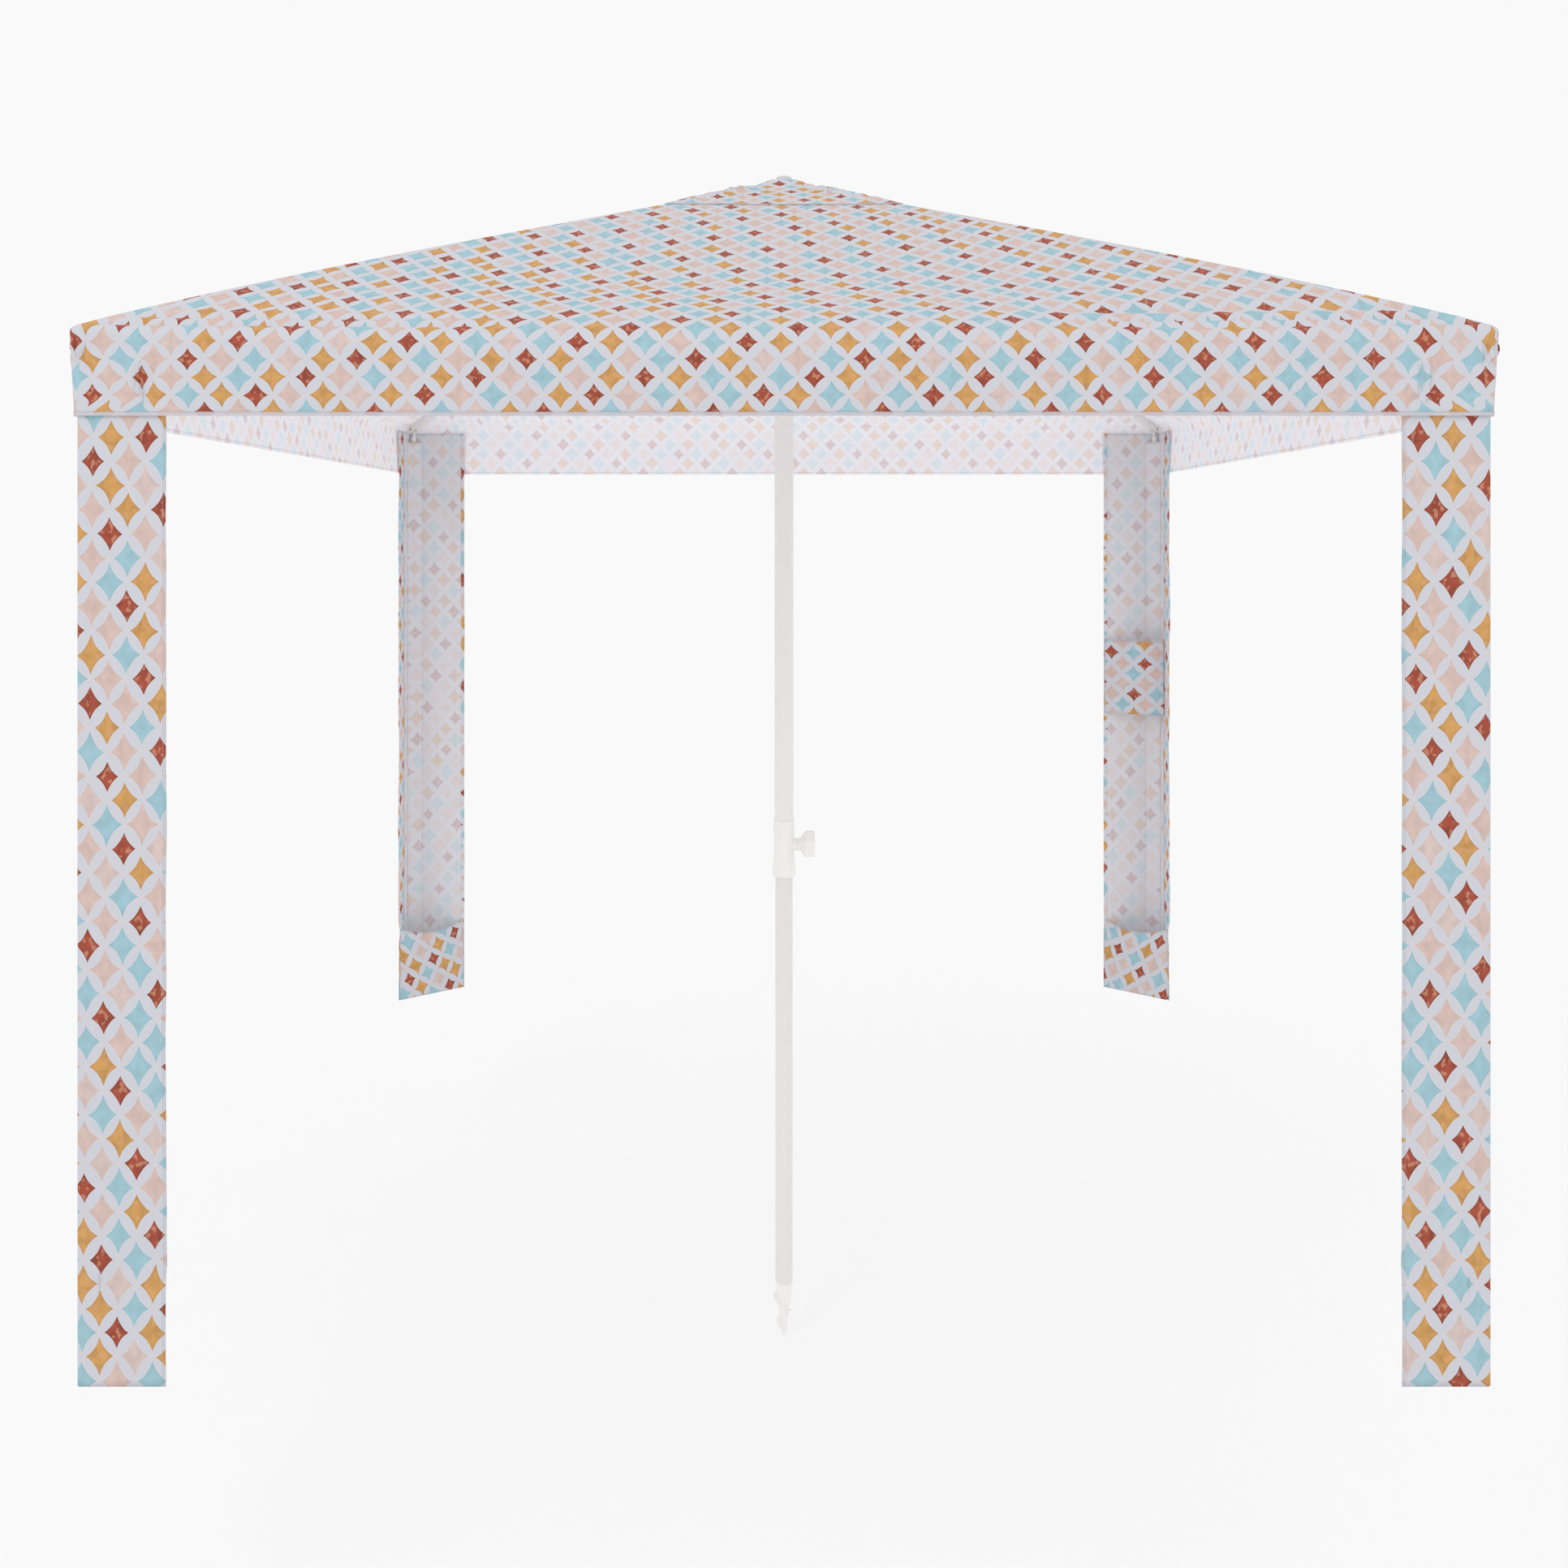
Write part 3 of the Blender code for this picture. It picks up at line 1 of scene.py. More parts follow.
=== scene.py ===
import math

import bmesh
import bpy
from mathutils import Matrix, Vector, noise


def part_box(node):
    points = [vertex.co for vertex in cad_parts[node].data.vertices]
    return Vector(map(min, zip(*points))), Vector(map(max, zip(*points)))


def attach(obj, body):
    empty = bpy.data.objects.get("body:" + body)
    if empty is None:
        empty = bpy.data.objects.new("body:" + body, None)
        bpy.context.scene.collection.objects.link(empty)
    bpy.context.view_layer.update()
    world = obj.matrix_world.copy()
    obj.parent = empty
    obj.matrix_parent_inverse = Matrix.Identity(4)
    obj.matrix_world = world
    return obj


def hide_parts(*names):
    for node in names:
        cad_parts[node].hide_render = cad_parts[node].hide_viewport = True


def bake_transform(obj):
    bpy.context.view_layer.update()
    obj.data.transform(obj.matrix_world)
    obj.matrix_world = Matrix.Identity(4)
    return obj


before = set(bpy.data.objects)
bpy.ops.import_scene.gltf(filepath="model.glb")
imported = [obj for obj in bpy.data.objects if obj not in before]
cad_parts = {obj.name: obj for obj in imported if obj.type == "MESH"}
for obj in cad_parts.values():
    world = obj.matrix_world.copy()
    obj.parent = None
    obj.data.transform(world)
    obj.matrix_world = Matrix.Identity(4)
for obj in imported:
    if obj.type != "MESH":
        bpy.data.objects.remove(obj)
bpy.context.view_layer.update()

scene = bpy.context.scene
print("frame loaded")

# The tent's shape, in metres. The front faces -Y.
tent = {
    "half": 0.9965,
    "peakZ": 1.907,
    "eaveZ": 1.480,
    "hemZ": 1.357,
    "hemLean": 0.0047,
    "ridgeBow": 0.0085,  # how far a ridge stands above the straight line, at most
    "roofSag": 0.028,
    "sagShift": 1.6,
    "eaveSag": 0.010,
    "eaveRoundCorner": 0.006,
    "eaveRoundMiddle": 0.034,
    "cornerRound": 0.009,
    "cornerFrom": 0.045,  # how far in from the eave the upright corner's rounding starts
    "cornerLeast": 0.0002,  # a smaller rounding is left out
    "ventHalf": 0.075,
    "cloth": 0.0009,
    "clothStand": 0.0011,  # how far the cloth's inner face stands outside the frame's
    "slope": 1.088,  # length along the roof for each metre outwards
}
sideAngles = {"front": -90, "right": 0, "back": 90, "left": 180}
corners = {"front_left": (-1, -1), "front_right": (1, -1), "back_left": (-1, 1), "back_right": (1, 1)}


# Small tools

def smooth(x):
    x = max(0.0, min(1.0, x))
    return x * x * (3 - 2 * x)


def noiseAt(x, y, z=0.0):
    return noise.noise(Vector((x, y, z)))


def hump(x, width):
    # 1 where x is 0, and soft slopes down to 0 on both sides
    return math.exp(-((x / width) ** 2))


def link(piece):
    scene.collection.objects.link(piece)
    return piece


def pieceFrom(name, points, faces, uvs, edges):
    # uvs: each point's place in the print; edges: its distances to the hem
    mesh = bpy.data.meshes.new(name)
    mesh.from_pydata(points, [], faces)
    for mapName, values in (("print", uvs), ("edge", edges)):
        layer = mesh.uv_layers.new(name=mapName)
        for loop in mesh.loops:
            layer.data[loop.index].uv = values[loop.vertex_index]
    return link(bpy.data.objects.new(name, mesh))


def gridFaces(tall, wide, closed=False):
    faces = []
    for j in range(tall - 1):
        for i in range(wide if closed else wide - 1):
            a, b = j * wide + i, j * wide + (i + 1) % wide
            faces.append((a, a + wide, b + wide, b))
    return faces


def settled(piece):
    # the piece with its modifiers worked out, as one plain mesh
    graph = bpy.context.evaluated_depsgraph_get()
    mesh = bpy.data.meshes.new_from_object(piece.evaluated_get(graph))
    mesh.name = piece.name
    piece.modifiers.clear()
    piece.data = mesh
    return piece


def clothOf(piece, outside, inside, thick=None):
    # gives a sheet its thickness: outside print on one face, the paler inside on the other
    piece.data.materials.append(outside)
    piece.data.materials.append(inside)
    wall = piece.modifiers.new("Thickness", "SOLIDIFY")
    wall.thickness = thick or tent["cloth"]
    wall.offset = 1
    wall.material_offset = 1
    wall.material_offset_rim = 0
    settled(piece)
    piece.data.shade_smooth()
    return piece


# Shader tools

class Val:
    # a socket that can be used in sums
    def __init__(self, tree, socket):
        self.tree, self.socket = tree, socket

    def op(self, kind, other=None, flip=False):
        given = [other, self] if flip else [self, other]
        inputs = {i: g for i, g in enumerate(given) if g is not None}
        return self.tree.num("ShaderNodeMath", {"operation": kind}, inputs)

    def rise(self, start, gain):
        # from 0 at the start up to 1, and then level
        return ((self - start) * gain).least(1.0).most(0.0)


operators = {
    "__add__": "ADD",
    "__sub__": "SUBTRACT",
    "__mul__": "MULTIPLY",
    "__truediv__": "DIVIDE",
    "__mod__": "FLOORED_MODULO",
    "__abs__": "ABSOLUTE",
    "__gt__": "GREATER_THAN",
    "__lt__": "LESS_THAN",
    "nearest": "ROUND",
    "root": "SQRT",
    "least": "MINIMUM",
    "most": "MAXIMUM",
}
for method, kind in operators.items():
    setattr(Val, method, lambda self, other=None, kind=kind: self.op(kind, other))
Val.__rsub__ = lambda self, other: self.op("SUBTRACT", other, flip=True)


class Paint:
    # one material and its nodes
    def __init__(self, name, roughness, metallic=0.0):
        self.material = bpy.data.materials.new(name)
        self.material.use_nodes = True
        self.nodes = self.material.node_tree.nodes
        self.links = self.material.node_tree.links
        self.shader = self.nodes["Principled BSDF"]
        self.shader.inputs["Roughness"].default_value = roughness
        self.shader.inputs["Metallic"].default_value = metallic

    def node(self, kind, settings=None, inputs=None):
        made = self.nodes.new(kind)
        for key, value in (settings or {}).items():
            setattr(made, key, value)
        for key, value in (inputs or {}).items():
            self.feed(made.inputs[key], value)
        return made

    def feed(self, socket, value):
        if isinstance(value, Val):
            value = value.socket
        if isinstance(value, bpy.types.NodeSocket):
            self.links.new(value, socket)
        elif isinstance(value, tuple) and len(value) == 3 and socket.type == "RGBA":
            socket.default_value = (*value, 1)
        else:
            socket.default_value = value

    def num(self, kind, settings=None, inputs=None, out=0):
        return Val(self, self.node(kind, settings, inputs).outputs[out])

    def blend(self, factor, a, b):
        # the colour a where the factor is 0, b where it is 1
        made = self.nodes.new("ShaderNodeMix")
        made.data_type = "RGBA"
        for place, value in ((0, factor), (6, a), (7, b)):
            self.feed(made.inputs[place], value)
        return made.outputs[2]

    def vector(self, x, y):
        return self.node("ShaderNodeCombineXYZ", None, {0: x, 1: y}).outputs[0]

    def noise(self, vector, look, extra=None):
        # look: the noise's scale and detail
        inputs = {"Vector": vector, "Scale": look[0], "Detail": look[1]}
        inputs.update(extra or {})
        return self.node("ShaderNodeTexNoise", {"noise_dimensions": "2D"}, inputs)

    def choice(self, factor, stops):
        # one colour for each stretch of the factor; stops: where each begins, and the colour
        made = self.node("ShaderNodeValToRGB", None, {0: factor})
        ramp = made.color_ramp
        ramp.interpolation = "CONSTANT"
        ramp.elements.remove(ramp.elements[-1])
        for number, (begins, colour) in enumerate(stops):
            spot = ramp.elements.new(begins) if number else ramp.elements[0]
            spot.position = begins
            spot.color = (*colour, 1)
        return made.outputs[0]


def shown(red, green, blue):
    # takes a colour as it looks on a screen, 0 to 255, and gives linear values
    return tuple(((c / 255 + 0.055) / 1.055) ** 2.4 if c > 10 else c / 3294.6 for c in (red, green, blue))


# The print: a lattice of overlapping rings, with a painted diamond in each gap.
# Its sizes are in cells of the lattice.

printLook = {
    "petal": (200, 201, 209),
    "knot": (203, 201, 206),
    "brick": (153, 67, 46),
    "fleck": (214, 158, 124),
    "halo": (216, 211, 213),
    "inside": (206, 205, 209),
    "hem": (197, 193, 200),
    "seam": (150, 148, 158),
    # each of the other diamonds: where its stretch of the draw begins, half size, colour
    "diamonds": {
        "aqua": (0.0, 0.327, (150, 186, 197)),
        "gold": (0.34, 0.314, (195, 146, 81)),
        "pink": (0.62, 0.330, (203, 179, 171)),
        "pale": (0.90, 0.324, (204, 184, 178)),
    },
    "draw": (0.37, 0.21, 0.16),  # along one diagonal, along the other, by chance
    "brickEvery": 5.0,
    "brickHalf": 0.284,
    "halfSpread": 0.035,
    "arc": 1.30,  # how far off the arcs' middles lie: more makes the diamonds' sides straighter
    "wobble": 0.104,
    "wobbleNoise": (0.9, 2.5),
    "washNoise": (3.6, 3.0),
    "fleckNoise": (6.5, 1.5),
    "strongBrick": 0.8,  # how far the brush shows
    "strongGold": 0.3,
    "strongAll": 0.35,
    "tone": 1.02,
    "brightest": 1.16,
    "rimGain": 15.0,
    "rimDark": (0.38, 0.05),  # by how far the brush shows, and everywhere
    "fleckFrom": 0.55,
    "fleckGain": 11.0,
    "fleckBrick": 0.5,
    "fleckGold": 0.45,
    "knotFrom": 0.78,
    "knotGain": 6.0,
    "haloFrom": -0.032,
    "haloGain": 34.0,
    "haloShare": 0.55,
    "edgeGain": 90.0,
}


def cellPaint(paint, cellA, cellB):
    # what each cell draws: its colour, half size, and whether it is brick or gold
    look = printLook
    cell = paint.vector(cellA, cellB)
    dice = paint.node("ShaderNodeTexWhiteNoise", {"noise_dimensions": "2D"}, {"Vector": cell})
    roll = Val(paint, dice.outputs["Value"])
    isBrick = ((cellA * 2 + cellB + 1) % look["brickEvery"]) < 0.5
    alongA, alongB, byChance = look["draw"]
    pick = (cellA * alongA + cellB * alongB + roll * byChance) % 1.0
    kinds = look["diamonds"]
    colours = paint.choice(pick, [(begins, shown(*colour)) for begins, half, colour in kinds.values()])
    sizes = paint.choice(pick, [(begins, (half,) * 3) for begins, half, colour in kinds.values()])
    half = Val(paint, paint.node("ShaderNodeRGBToBW", None, {0: sizes}).outputs[0])
    half = half * (1 - isBrick) + isBrick * look["brickHalf"] + (roll - 0.5) * look["halfSpread"]
    isGold = (pick > kinds["gold"][0]) * (pick < kinds["pink"][0]) * (1 - isBrick)
    return paint.blend(isBrick, colours, shown(*look["brick"])), half, isBrick, isGold


def printNodes(paint):
    look = printLook
    uv = paint.node("ShaderNodeUVMap", {"uv_map": "print"}).outputs[0]
    wobble = paint.noise(uv, look["wobbleNoise"]).outputs["Color"]
    shift = paint.node("ShaderNodeVectorMath", {"operation": "SUBTRACT"}, {0: wobble, 1: (0.5, 0.5, 0.5)})
    inputs = {0: shift.outputs[0], 1: (look["wobble"],) * 3, 2: uv}
    moved = paint.node("ShaderNodeVectorMath", {"operation": "MULTIPLY_ADD"}, inputs).outputs[0]
    parts = paint.node("ShaderNodeSeparateXYZ", None, {0: moved})
    x, y = Val(paint, parts.outputs[0]), Val(paint, parts.outputs[1])
    a, b = x + y, x - y
    cellA, cellB = a.nearest(), b.nearest()
    fromA, fromB = abs(a - cellA), abs(b - cellB)
    arcA = ((look["arc"] - fromA) * (look["arc"] - fromA) + fromB * fromB).root()
    arcB = ((look["arc"] - fromB) * (look["arc"] - fromB) + fromA * fromA).root()
    colour, half, isBrick, isGold = cellPaint(paint, cellA, cellB)
    depth = arcA.least(arcB) - look["arc"] + half
    # the brush leaves a darker rim and an uneven fill
    wash = Val(paint, paint.noise(moved, look["washNoise"]).outputs[0])
    strong = isBrick * look["strongBrick"] + isGold * look["strongGold"]
    tone = (wash - 0.5) * (strong + look["strongAll"]) + look["tone"]
    rim = depth.rise(0.0, look["rimGain"])
    shade = tone.least(look["brightest"]) * (1 - (strong * look["rimDark"][0] + look["rimDark"][1]) * (1 - rim))
    inked = paint.node("ShaderNodeVectorMath", {"operation": "SCALE"}, {0: colour, "Scale": shade}).outputs[0]
    flecks = Val(paint, paint.noise(moved, look["fleckNoise"]).outputs[0])
    pale = flecks.rise(look["fleckFrom"], look["fleckGain"]) * rim
    pale *= isBrick * look["fleckBrick"] + isGold * look["fleckGold"]
    inked = paint.blend(pale, inked, shown(*look["fleck"]))
    knot = (fromA + fromB).rise(look["knotFrom"], look["knotGain"])
    ground = paint.blend(knot, shown(*look["petal"]), shown(*look["knot"]))
    halo = depth.rise(look["haloFrom"], look["haloGain"]) * look["haloShare"]
    ground = paint.blend(halo, ground, shown(*look["halo"]))
    return paint.blend(depth.rise(0.0, look["edgeGain"]), ground, inked), uv


def toEdge(paint, number):
    # the map named edge holds each point's distance to the piece's hem, in metres
    edge = paint.node("ShaderNodeUVMap", {"uv_map": "edge"}).outputs[0]
    return Val(paint, paint.node("ShaderNodeSeparateXYZ", None, {0: edge}).outputs[number])


clothLook = {
    "outsideRough": 0.78,
    "insideRough": 0.82,
    "showThrough": 0.30,  # how far the print shows on the inside
    "seamHalf": 0.0005,
    "seamShare": 0.45,
    "insideSeamHalf": 0.0007,
    "insideSeamShare": 0.5,
    "bump": 0.25,
    "insideBump": 0.2,
    "threadNoise": (90.0, 2.0),
    "threadHeight": 0.00006,
    "creaseNoise": (0.8, 4.0),
    "creaseRough": 0.55,
    "creaseStretch": (0.35, 1.0, 1.0),
    "creaseHeight": 0.006,
}


def weave(paint, uv, strength):
    # fine threads and soft, shallow creases
    look = clothLook
    threads = paint.noise(uv, look["threadNoise"])
    stretch = paint.node("ShaderNodeVectorMath", {"operation": "MULTIPLY"}, {0: uv, 1: look["creaseStretch"]})
    creases = paint.noise(stretch.outputs[0], look["creaseNoise"], {"Roughness": look["creaseRough"]})
    height = Val(paint, threads.outputs[0]) * look["threadHeight"]
    height += Val(paint, creases.outputs[0]) * look["creaseHeight"]
    bump = paint.node("ShaderNodeBump", None, {"Strength": strength, "Distance": 1.0, "Height": height})
    paint.feed(paint.shader.inputs["Normal"], bump.outputs[0])


def outsideCloth(name, hem, cover):
    # hem: how wide the hem is; cover: how far its band hides the print
    look = clothLook
    paint = Paint(name, look["outsideRough"])
    colour, uv = printNodes(paint)
    distance = toEdge(paint, 1)
    colour = paint.blend((distance < hem) * cover, colour, shown(*printLook["hem"]))
    onSeam = abs(distance - hem) < look["seamHalf"]
    colour = paint.blend(onSeam * look["seamShare"], colour, shown(*printLook["seam"]))
    paint.feed(paint.shader.inputs["Base Color"], colour)
    weave(paint, uv, look["bump"])
    return paint.material


def insideCloth(name, paintedGlow, seam, turned=0.0):
    # the back of the print shows faintly, and a painted glow stands in for daylight coming through the cloth
    # and lightens its shade
    # seam: how far from the edge the hem is sewn; turned: how wide a hem shows the outside print again
    look = clothLook
    paint = Paint(name, look["insideRough"])
    colour, uv = printNodes(paint)
    faded = paint.blend(look["showThrough"], shown(*printLook["inside"]), colour)
    distance = toEdge(paint, 0)
    faded = paint.blend(distance < turned, faded, colour)
    onSeam = abs(distance - seam) < look["insideSeamHalf"]
    faded = paint.blend(onSeam * look["insideSeamShare"], faded, shown(*printLook["seam"]))
    paint.feed(paint.shader.inputs["Base Color"], faded)
    # painted light: the faded print glows, lifting the shaded inside as if lit through the cloth
    paint.feed(paint.shader.inputs["Emission Color"], faded)
    paint.shader.inputs["Emission Strength"].default_value = paintedGlow
    weave(paint, uv, look["insideBump"])
    return paint.material


def plain(name, colour, roughness, metallic=0.0, coat=0.0):
    paint = Paint(name, roughness, metallic)
    paint.shader.inputs["Base Color"].default_value = (*shown(*colour), 1)
    paint.shader.inputs["Coat Weight"].default_value = coat
    return paint.material


canopyPrint = outsideCloth("canopyPrint", hem=0.0050, cover=0.85)
# each inside material's glow is painted light that brightens its shade
canopyInside = insideCloth("canopyInside", paintedGlow=0.44, seam=0.0050)
legPrint = outsideCloth("legPrint", hem=0.0045, cover=0.0)
legInside = insideCloth("legInside", paintedGlow=0.13, seam=0.009, turned=0.009)
pocketPrint = outsideCloth("pocketPrint", hem=0.0045, cover=0.25)
pocketInside = insideCloth("pocketInside", paintedGlow=0.15, seam=0.0045)
threadPaint = plain("threadPaint", (206, 202, 208), 0.7)
whiteEnamel = plain("whiteEnamel", (237, 234, 231), 0.32, coat=0.3)
# the same white enamel made darker, with less coat: painted shade on the lower tube
lowerEnamelPaintedShade = plain("lowerEnamelPaintedShade", (231, 227, 224), 0.36, coat=0.2)
whitePlastic = plain("whitePlastic", (243, 240, 238), 0.38)
milkyPlastic = plain("milkyPlastic", (206, 206, 211), 0.35)
greyPlastic = plain("greyPlastic", (176, 177, 180), 0.5)
whiteRod = plain("whiteRod", (228, 228, 226), 0.45)
steelPaint = plain("steelPaint", (190, 192, 195), 0.28, metallic=1.0)
print("materials made")


# The canopy

canopyLook = {
    # up to which share of the half width, and in how many steps
    "columns": [(0.80, 54), (0.868, 12), (0.916, 36), (0.956, 8), (0.994, 26), (1.0, 6)],
    "roofRows": [(0.86, 42), (1.0, 52)],
    "turnRows": 12,
    "valanceRows": 26,
    "hemRows": [0.0068, 0.0062, 0.0056, 0.0040, 0.0022, 0.0008, 0.0],
    "hemFold": 0.0007,
    "cellAcross": 0.0472,
    "cellDown": 0.0497,
    "cellRoof": 0.064,
    "changeAt": 0.105,
    "rowShift": -0.081,
    "acrossShift": 0.096,
    "blendFrom": 0.15,
    "blendTo": 0.985,
    # distance from the eave, width and depth of each fold
    # then how much of it the left and the right end have
    "tension": [
        (0.021, 0.009, 0.0078, 1.0, 0.9),
        (0.052, 0.013, 0.0108, 0.5, 1.0),
        (0.092, 0.018, 0.0080, 0.35, 1.0),
    ],
    "tensionSides": {"front": 1.0, "right": 0.8, "back": 0.9, "left": 0.8},
    "tensionInwards": 0.020,  # how far the folds move in towards the side's middle
    "tensionWander": 0.005,
    # the swells and the ripples: height, how many across and along in a metre
    "swell": (0.0016, 3.2, 4.0),
    "ripple": (0.0007, 9.0, 11.0),
    "swellFrom": 0.24,
    "hemWave": 0.0024,
    "hemSway": 0.0012,
    # each crumpled strip: distance from the side's middle, lowest and highest place, half width
    "crumple": [(0.889, 1.366, 1.440, 0.0075), (0.977, 1.420, 1.476, 0.0080)],
    "crumpleFade": 0.014,
    "creases": 6,
    "crease": 0.0036,
    "creaseWide": 0.0019,
    "creaseWander": 0.006,
    "creaseLower": 0.025,  # by how much the creases end short of the strip, at most
    "creaseUpper": 0.02,
    "creaseIn": 0.0007,
    "creaseOut": 0.0046,
    "gathered": 0.009,
    "flat": (1.0, 1.12),
    "cut": 0.661,
}
sideSeeds = {"front": 0.0, "right": 11.0, "back": 23.0, "left": 37.0}


def stepsTo(stops):
    # a list of shares from 0 up to, not including, the last stop
    shares, last = [], 0.0
    for stop, count in stops:
        shares += [last + (stop - last) * i / count for i in range(count)]
        last = stop
    return shares


def ridgeHeight(t):
    # t: 0 at the peak, 1 at the corner; t * t * (1 - t) is 4 / 27 at most
    bow = tent["ridgeBow"] * 27 / 4 * t * t * (1 - t)
    return tent["peakZ"] - (tent["peakZ"] - tent["eaveZ"]) * t + bow


def roofSag(t):
    return tent["roofSag"] * math.sin(math.pi * t ** tent["sagShift"]) ** 2 + tent["eaveSag"] * t ** 4


def roofHeight(reach, share):
    t = reach / tent["half"]
    return ridgeHeight(t) - roofSag(t) * (1 - share * share)


def eavePoints(share):
    # where the roof's rounding starts, its corner, and where the valance begins: reach and height
    size = tent["eaveRoundCorner"] + (tent["eaveRoundMiddle"] - tent["eaveRoundCorner"]) * (1 - share * share)
    start = tent["half"] - size
    turn = roofHeight(tent["half"], share)
    return (start, roofHeight(start, share)), (tent["half"], turn), (tent["half"], turn - size)


def tensionFolds(side, reach, share):
    # narrow valleys that run along the eave from each corner, deeper on the right of the front
    toEave = tent["half"] - reach
    seed = sideSeeds[side]
    inwards = canopyLook["tensionInwards"] * (1 - abs(share))
    along = smooth((abs(share) - 0.30) / 0.30) * smooth((1 - abs(share)) / 0.035)
    depth = 0.0
    for number, (middle, width, size, left, right) in enumerate(canopyLook["tension"]):
        drift = middle + inwards + canopyLook["tensionWander"] * noiseAt(share * 2.3, number * 7.0 + seed)
        uneven = 0.85 + 0.5 * noiseAt(share * 3.1 + seed, number * 5.0, 2.0)
        ends = left if share < 0 else right
        depth += size * ends * uneven * hump(toEave - drift, width) * along
    return depth * canopyLook["tensionSides"][side]


def softness(side, across, height):
    # slow, shallow swells of the whole cloth
    seed = sideSeeds[side]
    size, wide, tall = canopyLook["swell"]
    swell = noiseAt(across * wide + seed, height * tall, seed) * size
    size, wide, tall = canopyLook["ripple"]
    return swell + noiseAt(across * wide - seed, height * tall, 4.0) * size


def cornerPull(across, reach):
    # rounds the upright corner: returns the new (across, reach)
    size = tent["cornerRound"] * smooth((reach - (tent["half"] - tent["cornerFrom"])) / tent["cornerFrom"])
    if size < tent["cornerLeast"] or abs(across) <= reach - size:
        return across, reach
    angle = (abs(across) - (reach - size)) / size * math.pi / 4
    middle = reach - size
    out = (middle + size * math.sin(angle)) * (1 if across > 0 else -1)
    return out, middle + size * math.cos(angle)


def canopyPoint(side, share, row):
    # the place before turning to its side, and the cloth's length from there down to the hem
    kind, step = row
    a, b, c = eavePoints(share)
    onValance = c[1] - tent["hemZ"]
    if kind in ("roof", "turn"):
        chord = math.hypot(b[0] - a[0], b[1] - a[1]) + math.hypot(c[0] - b[0], c[1] - b[1])
        turnLength = (chord + math.hypot(c[0] - a[0], c[1] - a[1])) / 2
    if kind == "roof":
        reach = tent["ventHalf"] + (a[0] - tent["ventHalf"]) * step
        height = roofHeight(reach, share) - tensionFolds(side, reach, share)
        calm = smooth((reach - canopyLook["swellFrom"]) / 0.1) * (1 - share * share)
        height += softness(side, share * reach, reach) * calm
        return reach, share * reach, height, onValance + turnLength + (a[0] - reach) * tent["slope"]
    if kind == "turn":
        reach = a[0] * (1 - step) ** 2 + 2 * b[0] * step * (1 - step) + c[0] * step * step
        height = a[1] * (1 - step) ** 2 + 2 * b[1] * step * (1 - step) + c[1] * step * step
        height -= tensionFolds(side, a[0], share) * (1 - step) ** 2
        return reach, share * reach, height, onValance + turnLength * (1 - step)
    seed = sideSeeds[side]
    if kind == "hem":
        height = tent["hemZ"] + step
        down = 1 - step / onValance
        fold = canopyLook["hemFold"] * (1 if step < canopyLook["hemRows"][1] else 0)
    else:
        top = canopyLook["hemRows"][0]
        height = c[1] + (tent["hemZ"] + top - c[1]) * step
        down = (c[1] - height) / onValance
        fold = 0
    reach = tent["half"] - tent["hemLean"] * down
    calm = (1 - abs(share) ** 6) * down
    wave = canopyLook["hemWave"] * noiseAt(share * 5.5 + seed, 1.0)
    wave += canopyLook["hemSway"] * math.sin(7 * math.pi * share + seed)
    pucker = crumples(side, share * tent["half"], height) * smooth(down * 6) * smooth((1 - abs(share)) / 0.006)
    reach += wave * calm + pucker + fold
    return reach, share * reach, height, height - tent["hemZ"]


def crumpleSpan(low, high, height):
    fade = canopyLook["crumpleFade"]
    return smooth((height - low) / fade) * smooth((high - height) / fade)


def crumples(side, across, height):
    # small creases where the legs and the corner are sewn on: returns how far the cloth stands out
    look = canopyLook
    out = 0.0
    hand = 1 if across > 0 else -1
    for number, (middle, low, high, spread) in enumerate(look["crumple"]):
        off = abs(across) - middle
        if abs(off) > 4 * spread:
            continue
        for crease in range(look["creases"]):
            seed = sideSeeds[side] + hand * 3.1 + number * 5.3 + crease * 1.7
            at = spread * 2.6 * noiseAt(seed, 0.5) + look["creaseWander"] * noiseAt(height * 42, seed)
            bottom = low + look["creaseLower"] * abs(noiseAt(seed, 7.3))
            top = high - look["creaseUpper"] * abs(noiseAt(seed, 3.9))
            size = look["crease"] * (1 if crease % 2 else -0.8)
            out += size * hump(off - at, look["creaseWide"]) * crumpleSpan(bottom, top, height)
    # the legs' cloth lies close behind
    return max(-look["creaseIn"], min(look["creaseOut"], out))


def gathering(across, height):
    # how far the print is drawn together at the crumpled strips
    drawn = 0.0
    for middle, low, high, spread in canopyLook["crumple"]:
        drawn += smooth((abs(across) - middle + spread) / (2 * spread)) * crumpleSpan(low, high, height)
    return canopyLook["gathered"] * drawn * (1 if across > 0 else -1)


def turnedTo(side, across, reach, height):
    # a point of one side, turned to where the side stands
    angle = math.radians(sideAngles[side])
    x = reach * math.cos(angle) - across * math.sin(angle)
    y = reach * math.sin(angle) + across * math.cos(angle)
    return x, y, height


def standOff(row, reach, height):
    # moves a point of the frame's cloth out to the scene's cloth
    stand = tent["clothStand"]
    if row[0] == "roof":
        return reach, height + stand * tent["slope"]
    if row[0] == "turn":
        return reach + stand * row[1], height + stand * tent["slope"] * (1 - row[1])
    return reach + stand, height


def printLength(length):
    # the print's rows are wider apart on the roof than on the valance
    low = min(length, canopyLook["changeAt"]) / canopyLook["cellDown"]
    return low + max(0, length - canopyLook["changeAt"]) / canopyLook["cellRoof"]


